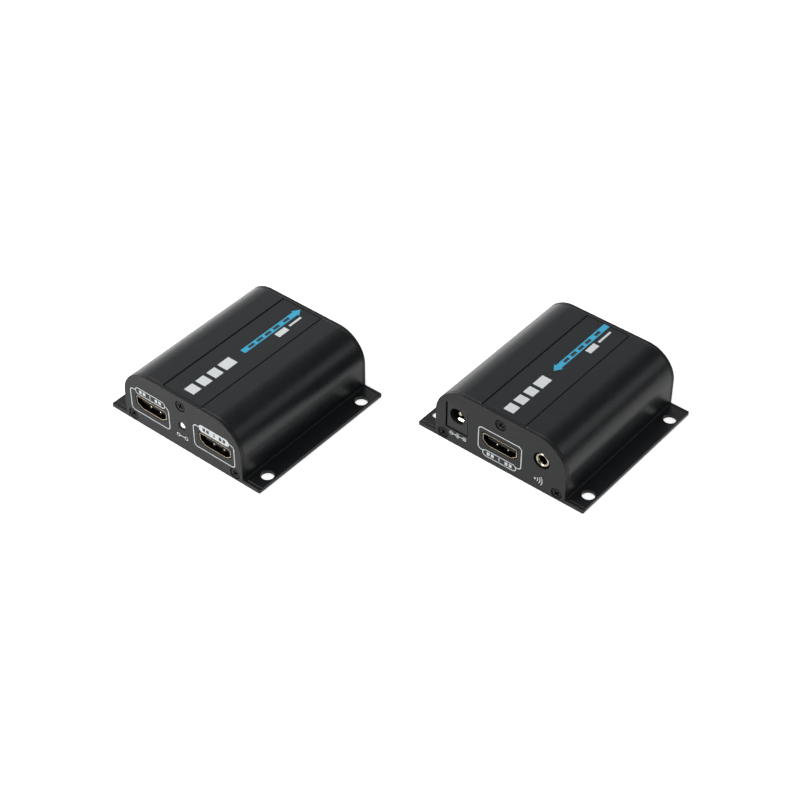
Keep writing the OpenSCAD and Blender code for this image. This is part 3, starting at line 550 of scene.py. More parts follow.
# Each finish is what surface() takes: material, colour, roughness and its spread, grain size in
# millimetres and strength of its relief, then what differs from the usual
SURFACES = {
    # Bead-blasted aluminium, anodised black: an even satin skin with a fine sparkle of grain.
    # The real grain is about 0.1 mm. It is drawn five times as coarse, so that it shows
    # Its rounded edges get a lighter colour: rubbed wear and a painted edge highlight
    "housing": (("Anodised_aluminium_bead_blasted", "housing", 0.3, 0.02, 0.5, 0.8), {"edge_wear_and_highlight": "#383837"}),
    # Rolled aluminium sheet, anodised black: smoother and a little greyer than the extrusion. Its rounded
    # edges get a brownish colour: rubbed wear and a painted edge highlight
    "panel": (("Anodised_aluminium_sheet", "panel", 0.38, 0.03, 0.4, 0.5),
              {"edge_wear_and_highlight": "#665a4c", "sockets": {"Specular IOR Level": 0.32}}),
    # Matte printed polyester film: very even, with a bluish cast
    "label": (("Polyester_film_matte", "label", 0.45, 0.03, 0.2, 0.12), {"mottle": 0.03, "sockets": SATIN}),
    # Screen-printed white ink: thin, slightly uneven in cover
    "white_ink": (("Screen_ink_white", "white_ink", 0.55, 0.04, 0.25, 0.15), {"mottle": 0.03}),
    # Screen-printed light blue ink on the label film
    "blue_ink": (("Screen_ink_light_blue", "blue_ink", 0.5, 0.04, 0.25, 0.12), {"mottle": 0.04}),
    # Dark ink of the label film, for the marks on the blue and white areas
    "dark_ink": (("Screen_ink_dark", "#2a3438", 0.5, 0.04, 0.25, 0.12), {"mottle": 0.04}),
    # Machined steel with a black oxide: dark. Its edges get a light colour: a painted highlight for their
    # metallic shine, and rubbed wear
    "screw": (("Black_oxide_steel", "#29292a", 0.27, 0.05, 0.2, 0.2),
              {"edge_wear_and_highlight": "#a3a19d", "sockets": METAL}),
    # Stamped sheet steel with a warm nickel plating and faint draw lines along its length
    "shell": (("Nickel_plated_sheet_steel", "#d8cbb4", 0.28, 0.06, 0.25, 0.15),
              {"stretch": ACROSS_Y, "sockets": METAL}),
    # Inside of the stamped shells: the same plating, coloured dark between the contacts as painted shade
    "shell_inside_painted_shade": (("Nickel_plated_sheet_steel_inside_painted_shade", "#2e2a25", 0.45, 0.06, 0.25, 0.15),
                     {"stretch": ACROSS_Y, "sockets": METAL}),
    # Turned brass with a bright nickel plating: fine rings and a clear reflection
    "nickel": (("Nickel_plated_brass_turned", "#c4bba9", 0.16, 0.04, 0.15, 0.08), {"sockets": METAL}),
    # Copper alloy with a thin gold flash, as on sprung contacts
    "gold": (("Gold_flashed_copper_alloy", "#d6a950", 0.24, 0.05, 0.15, 0.1), {"sockets": METAL}),
    # Moulded glass-filled nylon: deep black and slightly rough
    "nylon": (("Nylon_glass_filled_moulded", "#111112", 0.5, 0.06, 0.3, 0.2), {"sockets": SATIN}),
    # Moulded PBT of the jacks: charcoal, satin
    "jack": (("PBT_moulded_satin", "jack", 0.42, 0.05, 0.35, 0.18), {"sockets": SATIN}),
    # Tin-plated brass sheet: soft grey metal with faint wipe marks
    "tin": (("Tin_plated_brass_sheet", "#b9bab6", 0.32, 0.08, 0.4, 0.12),
            {"stretch": ACROSS_Z, "sockets": METAL}),
    # Milky epoxy of a lit 3 mm lamp: glossy skin with its own faint light
    "lamp": (("Epoxy_milky_lens", "lamp", 0.14, 0.03, 0.6, 0.03),
             {"mottle": 0.02, "sockets": {"IOR": 1.55, "Subsurface Weight": 0.4, "Subsurface Scale": 0.001,
                                          "Emission Color": linear("#f4f6f2"), "Emission Strength": 0.5}}),
    # Clear tinted polycarbonate of an indicator window, moulded smooth
    "lens": (("Polycarbonate_tinted_lens", "#8fae5a", 0.2, 0.04, 0.6, 0.04),
             {"mottle": 0.03, "sockets": {"IOR": 1.58, "Transmission Weight": 0.35}}),
    # Moulded epoxy of chips: black with a fine matte grain
    "resin": (("Epoxy_moulded_chip_resin", "#1d1d1f", 0.55, 0.05, 0.2, 0.25), {}),
    # Extruded aluminium, clear anodised: silver grey with lines along the extrusion
    "sink": (("Clear_anodised_aluminium", "#9a9ea2", 0.38, 0.06, 0.4, 0.15),
             {"stretch": (1, 0.05, 1), "sockets": METAL}),
    # Pressed and sintered ferrite: dark grey and slightly gritty
    "ferrite": (("Sintered_ferrite", "#3a3a3d", 0.6, 0.06, 0.25, 0.4), {}),
    # Drawn aluminium can of a capacitor: bright with fine rings
    "can": (("Drawn_aluminium_can", "#c4c6c9", 0.25, 0.05, 0.3, 0.08),
            {"stretch": ACROSS_Z, "sockets": METAL}),
}


def solder_mask():
    """Green solder mask over copper: rows of traces and round vias show lighter through the mask.

    Real traces are about 0.15 mm wide. They are drawn at 0.25 mm, so that they show.
    """
    mat, tree, shader = new_material("Epoxy_laminate_solder_mask", {"Roughness": 0.35})
    place = add(tree, "TexCoord").outputs["Object"]
    layout = {"Scale": 1000.0, "Mortar Size": 0.125, "Mortar Smooth": 0.2, "Brick Width": 7.0,
              "Row Height": 0.9}
    rows = add(tree, "TexBrick", layout, {"Vector": place}, offset=0.37).outputs["Fac"]
    spots = add(tree, "TexVoronoi", {"Scale": 1000 / 2.6}, {"Vector": place}).outputs["Distance"]
    vias = add(tree, "MapRange", {"From Min": 0.17, "From Max": 0.13}, {"Value": spots}).outputs["Result"]
    zones = add(tree, "TexNoise", {"Scale": 1000 / PATCH_MM}, {"Vector": place}).outputs["Fac"]
    routed = add(tree, "MapRange", {"From Min": 0.46, "From Max": 0.5}, {"Value": zones}).outputs["Result"]
    traces = add(tree, "Math", {}, {0: rows, 1: routed}, operation="MULTIPLY").outputs[0]
    copper = add(tree, "Math", {}, {0: traces, 1: vias}, operation="MAXIMUM").outputs[0]
    shade = add(tree, "Mix", {6: linear("#134a2a"), 7: linear("#2f7d4d")}, {0: copper}, data_type="RGBA")
    tree.links.new(shade.outputs[2], shader.inputs["Base Color"])
    relief = add(tree, "Bump", {"Strength": 0.3, "Distance": 0.00003}, {"Height": copper})
    tree.links.new(relief.outputs["Normal"], shader.inputs["Normal"])
    return mat


FINISHES = {}


def finish(name):
    """The finished material of that name, made once."""
    if name not in FINISHES:
        if name == "board":
            FINISHES[name] = solder_mask()
        else:
            values, more = SURFACES[name]
            FINISHES[name] = surface(*values, **more)
    return FINISHES[name]


def dress(node, name, rim=0.0):
    """Gives a CAD node its material, and softened edges of rim millimetres."""
    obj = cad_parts[node]
    obj.data.materials.clear()
    obj.data.materials.append(finish(name))
    if rim:
        bevel = obj.modifiers.new("Edges", "BEVEL")
        bevel.width = rim / 1000
        bevel.segments = 2
        bevel.limit_method = "ANGLE"
        bevel.angle_limit = radians(40)
        bevel.use_clamp_overlap = True


# Settings


def length(name, description, default):
    """A length setting in metres, up to 10 mm, from a default in millimetres."""
    return FloatProperty(name=name, description=description, default=default / 1000, min=0.0, max=0.01,
                         unit="LENGTH", precision=5)


def colour(name, description, default):
    """A colour setting from a hex value."""
    return FloatVectorProperty(name=name, description=description, subtype="COLOR", min=0, max=1,
                               default=linear(default)[:3])


class ExtenderSizes(bpy.types.PropertyGroup):
    """Sizes of edges, gaps and print that a user would change"""

    panel_edge: length("Panel edge", "Rounding of the end panels' outer edges", 0.25)
    housing_edge: length("Housing edge", "Rounding of the extrusion's cut ends", 0.15)
    line: length("Printed line", "Width of the printed frame lines", 0.38)
    foot_r: length("Foot corner", "Radius of the panels' foot corners, seen from above", 0.4)
    frame_r: length("Frame corner", "Radius of the printed frames' corners", 1.5)
    ink: length("Ink", "Thickness of the printed ink", 0.03)


class ExtenderColours(bpy.types.PropertyGroup):
    """Colours of the visible finishes"""

    housing: colour("Housing", "Anodised extrusion", "#121518")
    panel: colour("Panels", "Anodised end panels", "#191a1a")
    label: colour("Label", "Film on the roof", "#1b1f22")
    white_ink: colour("White ink", "Printed frames, symbols and bars", "#d1d5d6")
    blue_ink: colour("Blue ink", "Printed arrow", "#3ba6cc")
    jack: colour("Jacks", "Moulded jack bodies", "#1d1e1f")
    lamp: colour("Lamp", "Lens of the link lamp", "#eef0ea")


def setting(name):
    """A size setting in millimetres."""
    return getattr(bpy.context.scene.extender_sizes, name) * 1000


# Pieces


def profile(recess=False):
    """Outline of the box with its flanges, anticlockwise. The housing's has the label recess."""
    half, foot, tip, fillet = BODY_W / 2, FLANGE_W / 2, 0.2, 0.35
    right = [(foot, 0, tip), (foot, FLANGE_T, tip), (half, FLANGE_T, fillet), (half, BOX_H, SHOULDER_R)]
    if recess:
        right += [(RECESS_W / 2, BOX_H, 0.1), (RECESS_W / 2, BOX_H - RECESS_D, 0.04)]
    return rounded(with_mirror(right))


def inside():
    """Outline of the space in the housing, with its screw channels and board ribs."""
    half = BODY_W / 2 - WALL
    top = BOX_H - ROOF_T
    channel, under = 4.5, 5.4
    rib_low, rib_high, rib = 7.15, 8.15, 1.5
    mid, mid_low = 2.4, 17.7
    return rounded(with_mirror([
        (half - channel, FLANGE_T, 0), (half - channel, under, 0), (half, under, 0), (half, rib_low, 0),
        (half - rib, rib_low, 0), (half - rib, rib_high, 0), (half, rib_high, 0),
        (half, top, SHOULDER_R - WALL), (mid, top, 0), (mid, mid_low, 0)]))


def build_housings():
    """The two extrusions: rounded cut ends, label recess, screw channels and flange holes."""
    edge = setting("housing_edge")
    chamfer, past = 0.14, 0.4
    wide = HOLE_R + chamfer + past
    tool = [(0, -past), (wide, -past), (HOLE_R, chamfer), (HOLE_R, FLANGE_T - chamfer),
            (wide, FLANGE_T + past), (0, FLANGE_T + past)]
    for box in BOXES:
        bm = plate(profile(recess=True), [(inside(), 0.08)], PANEL_T, BOX_L - PANEL_T, edge, steps=4)
        holes = bmesh.new()
        for x in (-HOLE_X, HOLE_X):
            for y in (-HOLE_Y, HOLE_Y):
                join(holes, lathe(tool, steps=64), placed(x, BOX_L / 2 + y, 0, pi / 2, "X"))
        piece(f"{box}_housing_shell", cut(bm, holes), "housing", box, mm_matrix(box),
              [f"{box}_housing"])


def hdmi_loop(grow, r):
    """Outline of the picture socket, grown by that much from the middle of its metal, anticlockwise."""
    slope = atan2(HDMI_RISE, HDMI_HALF - HDMI_FOOT_HALF)
    low = HDMI_RISE - grow * tan((pi / 2 - slope) / 2)
    base = HDMI_FOOT_HALF + grow * tan(slope / 2)
    side = HDMI_HALF + grow
    return rounded(with_mirror([(base, -grow, r), (side, low, r), (side, HDMI_H + grow, r)]))


def panel_openings(box, rear):
    """Openings of one panel, as (outline, edge rounding) pairs."""
    if rear:
        made = [(box_outline(*NETWORK_HOLE, 0.3), HOLE_EDGE)]
    else:
        made = [(moved(hdmi_loop(0.5, 0.5), x, BOARD_TOP + lift + SHELL_T / 2), HOLE_EDGE)
                for owner, _, x, lift in PICTURE_SOCKETS if owner == box]
    if (box, rear) in POWER_HOLES:
        made.append((box_outline(*POWER_HOLES[box, rear], 0.25), HOLE_EDGE))
    for owner, x, behind in INFRARED_JACKS:
        if (owner, behind) == (box, rear):
            made.append((circle(-x if rear else x, BOARD_TOP + IR_AXIS, IR_HOLE[0]), IR_HOLE[1]))
    if (box, rear) == ("sender", False):
        made.append((circle(0, BOARD_TOP + LAMP_AXIS, LAMP_HOLE[0]), LAMP_HOLE[1]))
    return made + [(circle(x, z, SCREW_HOLE[0]), SCREW_HOLE[1]) for x, z in SCREWS]


def round_feet(bm, corner):
    """Rounds a panel's foot tips, seen from above. A small share of the radius stays square."""
    square = 0.06
    for v in bm.verts:
        over = abs(v.co.x) - (FLANGE_W / 2 - corner)
        if over > 0 and v.co.y < corner:
            short = 1 - max(v.co.y / corner, square)
            v.co.x = (abs(v.co.x) - over * (1 - (1 - short ** 2) ** 0.5)) * (1 if v.co.x > 0 else -1)


def build_panels():
    """The four end panels with their openings and rounded edges."""
    for rear in (False, True):
        for box in BOXES:
            bm = plate(profile(), panel_openings(box, rear), 0, PANEL_T, setting("panel_edge"),
                       extra=(0.3, 0.4))
            round_feet(bm, setting("foot_r"))
            end = ENDS[rear]
            piece(f"{box}_{end}_plate", bm, "panel", box, mm_matrix(box, rear=rear),
                  [f"{box}_{end}_panel"])


def build_screws():
    """Countersunk cross-recess screws, three in each panel."""
    head = lathe([(0, 0.16), (1.6, 0.16), (1.85, 0.2), (2.0, 0.29), (2.04, 0.4), (1.95, 0.5),
                  (1.25, 1.12), (1.25, 7.5), (0.62, 8.2), (0, 8.2)])
    cross = bmesh.new()
    rows = []
    # Depth, half width and reach of the recess's arms
    for y, w, reach in ((-0.1, 0.4, 1.36), (0.18, 0.37, 1.3), (1.2, 0.16, 0.45)):
        arm = [(reach, -w), (reach, w), (w, w)]
        star = arm + [(-z, x) for x, z in arm] + [(-x, -z) for x, z in arm] + [(z, -x) for x, z in arm]
        rows.append(ring(cross, star, y))
    for a, b in zip(rows, rows[1:]):
        bridge(cross, a, b)
    cross.faces.new(rows[0])
    cross.faces.new(rows[-1])
    made = cut(head, cross)
    mesh = bpy.data.meshes.new("screw")
    made.to_mesh(mesh)
    made.free()
    turns = (35, 50, 20)
    for box in BOXES:
        for rear in (False, True):
            bm = bmesh.new()
            for (x, z), turn in zip(SCREWS, turns):
                one = bmesh.new()
                one.from_mesh(mesh)
                join(bm, one, placed(x, 0, z, radians(turn), "Y"))
            end = ENDS[rear]
            piece(f"{box}_{end}_cross_screws", bm, "screw", box, mm_matrix(box, rear=rear),
                  [f"{box}_{end}_screws"], sharp=30)
    bpy.data.meshes.remove(mesh)


def on_face(x, z, height):
    """Print on a panel's face."""
    return (x, -height, z)


def over_ink(x, z, height):
    """Print on top of other print on a panel's face."""
    return (x, -setting("ink") - height, z)


def on_label(x, y, height):
    """Print on the label: x across and y along it."""
    return (x, y, BOX_H - RECESS_D + FILM_T + height)


def open_frame(x0, x1, z0, z1, gap0, gap1, below):
    """Line of a printed frame, open along its upper or lower side between the two gaps."""
    r = setting("frame_r")
    steps = 8
    low_right = arc(x1 - r, z0 + r, r, -pi / 2, 0, steps)
    top_right = arc(x1 - r, z1 - r, r, 0, pi / 2, steps)
    top_left = arc(x0 + r, z1 - r, r, pi / 2, pi, steps)
    low_left = arc(x0 + r, z0 + r, r, pi, 3 * pi / 2, steps)
    if below:
        return [(gap1, z0)] + low_right + top_right + top_left + low_left + [(gap0, z0)]
    return [(gap0, z1)] + top_left + low_left + low_right + top_right + [(gap1, z1)]


def pill(x0, x1, z0, z1):
    """A bar with round ends."""
    return box_outline(x0, x1, z0, z1, (z1 - z0) / 2 - 0.01)


def digit_one(bm, face, x, z, h):
    """A plain figure one of height h about x."""
    w = h * 0.2
    ribbon(bm, face, [(x, z), (x, z + h)], w)
    ribbon(bm, face, [(x - h * 0.26, z + h * 0.68), (x - w * 0.3, z + h * 0.94)], w * 0.9)


def digit_two(bm, face, x, z, h):
    """A plain figure two of height h about x."""
    r = h * 0.26
    w = h * 0.18
    bow = moved(arc(0, h - r, r, radians(165), radians(-40), 12), x, z)
    ribbon(bm, face, bow + [(x - r, z + w * 0.6)], w)
    ribbon(bm, face, [(x - r * 1.25, z + w / 2), (x + r * 1.15, z + w / 2)], w)


def print_sign(bm, kind, x, z):
    """A small sign in place of a word: a link, a power polarity or waves."""
    w = 0.32
    thin = w * 0.85
    r = 0.68

    def line(a, b, width):
        ribbon(bm, on_face, [a, b], width)

    if kind == "link":
        for side in (-1, 1):
            ribbon(bm, on_face, circle(x + side * 1.9, z, r, 28), w, True)
        line((x - 1.1, z), (x + 1.1, z), w)
    if kind == "power":
        arm = 0.35
        for pole in (x - 2.9, x + 2.9):
            ribbon(bm, on_face, circle(pole, z, r, 28), thin, True)
            line((pole - arm, z), (pole + arm, z), w * 0.8)
        line((x + 2.9, z - arm), (x + 2.9, z + arm), w * 0.8)
        line((x - 2.1, z), (x - 0.9, z), thin)
        line((x + 0.2, z), (x + 2.1, z), thin)
        ribbon(bm, on_face, arc(x, z, 0.85, radians(50), radians(310), 20), thin)
        patch(bm, on_face, circle(x, z, 0.34, 24))
    if kind == "waves":
        patch(bm, on_face, circle(x - 1.9, z, 0.42, 24))
        for k in range(3):
            ribbon(bm, on_face, arc(x - 1.9, z, 1.2 + 0.95 * k, radians(-38), radians(38), 12), w)


# Printed frame at each picture socket: box, its four sides, the gap for its bar, whether that is below,
# the bar, whether that is filled, the marks in it, the marks' foot, and the figure with its place
FRAMES = (
    ("sender", (-24.95, -6.15, 5.6, 15.6), (-22.25, -7.85), False, (-22.25, -7.85, 14.35, 17.15), False,
     ((-20.4, -19.2), (-18.6, -17.4), (-12.7, -11.5), (-10.9, -9.7)), 15.05, digit_one, -15.05),
    ("sender", (5.8, 25.0, 5.65, 15.65), (8.7, 22.7), False, (8.5, 22.9, 14.0, 17.1), True,
     ((10.4, 11.6), (12.2, 13.4), (18.1, 19.3), (19.9, 21.1)), 14.85, digit_two, 15.75),
    ("receiver", (-9.2, 9.4, 4.75, 15.0), (-7.1, 7.3), True, (-7.1, 7.3, 2.65, 5.4), False,
     ((-5.3, -4.1), (-3.5, -2.3), (2.5, 3.7), (4.3, 5.5)), 3.33, digit_one, 0.1),
)
MARK_H = 1.4
FIGURE_H = 1.5
# Small signs of each printed panel, with their places
SIGNS = {
    ("sender", False): (("link", -0.1, 6.1),),
    ("receiver", False): (("power", -18.2, 4.75), ("waves", 17.4, 4.75)),
    ("sender", True): (("power", 18, 4.7), ("waves", 4.4, 4.7)),
}


def build_prints():
    """Ink on the end panels: frames, plain bars with figures, and small signs."""
    line = setting("line")
    for (box, rear), signs in SIGNS.items():
        white, dark = bmesh.new(), bmesh.new()
        for owner, sides, gap, below, bar, filled, marks, foot, figure, middle in FRAMES:
            if rear or owner != box:
                continue
            ribbon(white, on_face, open_frame(*sides, *gap, below), line)
            if filled:
                patch(white, on_face, pill(*bar))
            else:
                ribbon(white, on_face, pill(*bar), line * 0.9, True)
            bm, face = (dark, over_ink) if filled else (white, on_face)
            for a, b in marks:
                patch(bm, face, rectangle(a, b, foot, foot + MARK_H))
            figure(bm, face, middle, foot - (FIGURE_H - MARK_H) / 2, FIGURE_H)
        for kind, x, z in signs:
            print_sign(white, kind, x, z)
        end = ENDS[rear]
        for shade, bm in (("white", white), ("dark", dark)):
            if bm.verts:
                piece(f"{box}_{end}_{shade}_print", bm, f"{shade}_ink", box, mm_matrix(box, rear=rear),
                      weighted=False)
            else:
                bm.free()


def arrow(tail, tip, half, head, barb):
    """Outline of a flat arrow along the label from tail to tip, about x = 0."""
    turn = 1 if tip > tail else -1
    neck = tip - turn * head
    return [(-half, tail), (half, tail), (half, neck), (barb, neck), (0, tip), (-barb, neck), (-half, neck)]


# Places of the plain marks on each label: blocks, small bars and the arrow with its dashes
LABELS = {
    "sender": {
        "block_x": (-2.1, 2.5), "blocks": [(4.6, 8.6), (10.2, 14.2), (15.8, 19.8), (21.4, 27.0)],
        "arrow": (32.4, 63.2, 1.2, 2.9, 1.95), "arrow_x": -0.1,
        "dashes": [(35.4, 38.4), (39.8, 42.8), (44.2, 47.2), (48.6, 51.6), (54.0, 57.0)],
        "small": [(2.05, 4.6, 46.7, 52.0), (2.6, 3.5, 53.6, 60.0)],
    },
    "receiver": {
        "block_x": (-2.1, 2.1), "blocks": [(4.3, 8.3), (9.9, 13.9), (15.5, 19.5), (21.1, 26.9)],
        "arrow": (63.9, 31.3, 1.2, 2.9, 1.95), "arrow_x": -0.45,
        "dashes": [(37.4, 40.4), (41.8, 44.8), (46.2, 49.2), (50.6, 53.6), (56.4, 59.4)],
        "small": [(1.65, 4.15, 47.3, 52.6), (2.3, 3.2, 54.2, 61.6)],
    },
}
DASH_HALF = 0.6


def build_labels():
    """The label film in the roof's recess, with its plain printed marks."""
    low = BOX_H - RECESS_D
    for box, marks in LABELS.items():
        matrix = mm_matrix(box)
        film = plate(box_outline(-FILM_W / 2, FILM_W / 2, low, low + FILM_T, 0.12), [],
                     PANEL_T + 0.15, BOX_L - PANEL_T - REAR_GAP, 0.07, steps=2)
        piece(f"{box}_label_film", film, "label", box, matrix, [f"{box}_label_plate"])
        middle = marks["arrow_x"]

        def above(x, y, height):
            return on_label(x, y, setting("ink") + height)

        white, blue, dark = bmesh.new(), bmesh.new(), bmesh.new()
        for a, b in marks["blocks"]:
            patch(white, on_label, rectangle(*marks["block_x"], a, b))
        for sides in marks["small"]:
            patch(white, on_label, rectangle(*sides))
        patch(blue, on_label, moved(arrow(*marks["arrow"]), middle, 0))
        for a, b in marks["dashes"]:
            patch(dark, above, rectangle(middle - DASH_HALF, middle + DASH_HALF, a, b))
        for shade, bm in (("white", white), ("blue", blue), ("dark", dark)):
            piece(f"{box}_label_{shade}_print", bm, f"{shade}_ink", box, matrix,
                  weighted=False)


def build_picture_sockets():
    """The three picture sockets: formed shell with a rolled lip, fingers, insert and contacts."""
    face, half_t = 0.05, 0.15
    # Across the metal and into the box: half of the rolled lip, then the spring fingers' bend
    lip = [(half_t, 10.6), (half_t, 0.16), (half_t - 0.04, 0.05)]
    section = [(by, face + y) for by, y in lip + [(0, 0)] + [(-by, y) for by, y in reversed(lip)]]
    bend = ((5.0, 0.0), (3.4, 0.2), (2.2, 0.42), (1.3, 0.22))
    low_finger, high_finger, inset = 2.35, 3.1, 0.06
    dimple = [(0, -0.6), (0.2, -0.57), (0.38, -0.47), (0.5, -0.3), (0.5, 0), (0, 0)]
    for box, name, x, lift in PICTURE_SOCKETS:
        foot = lift + SHELL_T / 2
        loop = moved(hdmi_loop(0, 0.55), 0, foot)
        bm = wall(loop, section)
        wall_faces = len(bm.faces)
        inner = list(bm.faces)[:len(loop)]
        for side in (-1, 1):
            for level, way, across in ((foot + inset, 1, low_finger),
                                       (foot + HDMI_H - inset, -1, high_finger)):
                strip([(face + y, level + way * rise) for y, rise in bend], 1.4, 0.22, bm=bm,
                      middle=side * across)
        # The inner wall and the spring fingers get the dark finish: painted shade inside the socket
        for one in inner + list(bm.faces)[wall_faces:]:
            one.material_index = 1
        for side in (-1, 1):
            for y in (2.8, 8.2):
                leg = side * HDMI_HALF
                block(leg - 0.125, leg + 0.125, y, y + 1.2, -1.2, foot + 2.4, 0.05, bm)
            join(bm, lathe(dimple, steps=20),
                 placed(side * low_finger, face + 2.3, foot + 0.42, -pi / 2, "X"))
        piece(f"{name}_formed_shell", bm, ("shell", "shell_inside_painted_shade"), box, mm_matrix(box, x=x, z=BOARD_TOP),
              [f"{name}_shell"], sharp=40)
        dress(f"{name}_insert", "nylon")
        dress(f"{name}_contacts", "gold")


def build_power_jacks():
    """The power jacks: square body, centre pin and sprung leaf."""
    face, long, bottom = 0.12, 13.0, 9.6
    mouth_r, bore_r, pin_r = 3.75, 3.2, 1.0
    for box, x, rear in POWER_JACKS:
        matrix = mm_matrix(box, x=x, z=BOARD_TOP, rear=rear)
        bm = plate(box_outline(-4.5, 4.5, 0, 11, 0.25), [], face, face + long, 0.18)
        bore = lathe([(0, -1), (mouth_r, -1), (bore_r, face + 0.3), (bore_r, face + bottom),
                      (pin_r, face + bottom), (pin_r, 15), (0, 15)], z=DC_AXIS, steps=64)
        bm = cut(bm, bore)
        bm = cut(bm, block(-1.5, 1.5, face + 1.2, face + 10.25, 1.7, 5.0, 0.05))
        piece(f"{box}_power_jack_housing", bm, "jack", box, matrix, [f"{box}_dc_jack_body"])
        pin = lathe([(0, face + 1.4), (0.5, face + 1.42), (0.75, face + 1.52), (0.93, face + 1.75),
                     (pin_r, face + 2.1), (pin_r, face + 13.2), (0, face + 13.2)], z=DC_AXIS, steps=32)
        block(-1.1, 1.1, face + long, face + long + 0.45, -2.5, DC_AXIS + 1, 0.1, pin)
        piece(f"{box}_power_jack_pin", pin, "nickel", box, matrix,
              [f"{box}_dc_jack_terminals"])
        leaf = strip([(face + 9.8, 2.4), (face + 6.5, 3.45), (face + 3.4, 4.1), (face + 2.0, 3.3)],
                     2.4, 0.25)
        piece(f"{box}_power_jack_spring_leaf", leaf, "nickel", box, matrix,
              [f"{box}_dc_jack_leaf"], body=f"{box}_dc_leaf")


def build_infrared_jacks():
    """The infrared jacks: bright collar with a rolled lip, body and sprung contact."""
    face = 0.3
    # Radius, and depth behind the lip's front
    rolled = ((1.8, 0.9), (1.84, 0.62), (1.98, 0.3), (2.18, 0.08), (2.36, 0), (2.52, 0.04), (2.7, 0.18),
              (2.83, 0.4), (2.9, 0.75), (2.9, 2.8), (1.8, 2.8), (1.8, 0.9))
    back = 14.05
    for box, x, rear in INFRARED_JACKS:
        matrix = mm_matrix(box, x=x, z=BOARD_TOP, rear=rear)
        collar = lathe([(r, face + y) for r, y in rolled], z=IR_AXIS, steps=64)
        block(-0.7, 0.7, back, back + 0.3, -2.5, IR_AXIS, 0.08, collar)
        piece(f"{box}_infrared_jack_collar", collar, "nickel", box, matrix,
              [f"{box}_ir_jack_terminals"])
        dress(f"{box}_ir_jack_body", "jack", 0.1)
        spring = strip([(5.25, 2.5), (7.5, 1.85), (9.85, 1.46), (10.85, 2.1)], 1.7, 0.22, along="z",
                       middle=IR_AXIS)
        join(spring, lathe([(0, -0.85), (0.3, -0.85), (0.3, 0.85), (0, 0.85)], steps=24),
             placed(2.5, 5.25, IR_AXIS, pi / 2, "X"))
        piece(f"{box}_infrared_jack_contact", spring, "gold", box, matrix,
              [f"{box}_ir_jack_spring"], body=f"{box}_ir_spring")


def build_network_jacks():
    """The network jacks: shielded body with its stepped mouth, contact wires and two windows."""
    face = 0.1
    half, high = 7.7, 12.9
    window_x = 5.9
    outline = box_outline(-half, half, 0, high, 0.3)
    mouth = rounded(with_mirror([(1.6, 0.7, 0.15), (1.6, 2.0, 0.1), (3.0, 2.0, 0.15), (3.0, 3.3, 0.1),
                                 (5.9, 3.3, 0.2), (5.9, 10.1, 0.2)]))
    windows = [(box_outline(x - 1.35, x + 1.35, 10.5, 12.5, 0.15), 0.05) for x in (-window_x, window_x)]
    # Outline of the bent shield, seen from the mouth: outside first, then back along the inside
    shield_loop = rounded([(7.95, 0, 0), (7.95, 13.2, 0.5), (-7.95, 13.2, 0.5), (-7.95, 0, 0),
                           (-half, 0, 0), (-half, 12.95, 0.3), (half, 12.95, 0.3), (half, 0, 0)])
    wire_long, wire_bow, wire_pitch, tilt = 6.6, 0.35, 1.02, radians(15)
    for box in BOXES:
        matrix = mm_matrix(box, x=NETWORK_X, z=BOARD_TOP, rear=True)
        bm = plate(outline, [(mouth, 0.2)] + windows, face, face + 11.4, 0.2)
        plate(outline, [], face + 11.4, face + 15.8, 0.1, bm=bm)
        piece(f"{box}_network_jack_moulding", bm, "jack", box, matrix,
              [f"{box}_network_jack_body"])
        shield = plate(shield_loop, [], face, face + 16.1, 0.06, steps=2)
        block(-7.8, 7.8, face + 15.86, face + 16.1, 0.2, 13.0, 0.05, shield)
        for side in (-1, 1):
            leg = side * 7.825
            block(leg - 0.125, leg + 0.125, 9, 11, -2.5, 1.0, 0.05, shield)
            strip([(face + 0.5, side * 8.35), (face + 3.0, side * 8.1), (face + 6.0, side * 7.85)],
                  3.0, 0.2, along="z", bm=shield, middle=5.5)
        piece(f"{box}_network_jack_can", shield, "tin", box, matrix,
              [f"{box}_network_jack_shield"])
        wires = bmesh.new()
        for i in range(8):
            root = Vector(((i - 3.5) * wire_pitch, face + 1.4, 9.75))
            tube(wires, [root + Vector((0, wire_long * t * cos(tilt),
                                        -wire_long * t * sin(tilt) - wire_bow * sin(pi * t)))
                         for t in (k / 12 for k in range(13))], 0.2)
        piece(f"{box}_network_jack_contact_wires", wires, "gold", box, matrix,
              [f"{box}_network_jack_wires"], body=f"{box}_network_wires")
        lights = bmesh.new()
        for x in (-window_x, window_x):
            block(x - 1.3, x + 1.3, face - 0.02, face + 6.0, 10.55, 12.45, 0.12, lights)
        piece(f"{box}_network_jack_windows", lights, "lens", box, matrix,
              [f"{box}_network_jack_lights"])


def build_lamp():
    """The sender's link lamp, a 3 mm lens in its holder."""
    r, collar_r, face = 1.6, 1.95, 0.1
    dome = [(r * sin(a), face + r - r * cos(a)) for a in (pi / 2 * k / 10 for k in range(11))]
    bm = lathe(dome + [(r, face + 4.6), (collar_r, face + 4.6), (collar_r, face + 5.4), (0, face + 5.4)],
               z=LAMP_AXIS)
    piece("sender_link_lamp_lens", bm, "lamp", "sender", mm_matrix("sender", z=BOARD_TOP),
          ["sender_link_lamp"])
    dress("sender_lamp_holder", "nylon", 0.15)


# What is on each board: node, finish and softening of its edges
BOARD_PARTS = (
    ("circuit_board", "board", 0.0),
    ("video_chip", "resin", 0.1),
    ("heat_sink", "sink", 0.08),
    ("small_chips", "resin", 0.08),
    ("network_transformer", "resin", 0.2),
    ("power_coil", "ferrite", 0.25),
    ("capacitors", "can", 0.2),
    ("clock_crystal", "tin", 0.3),
)


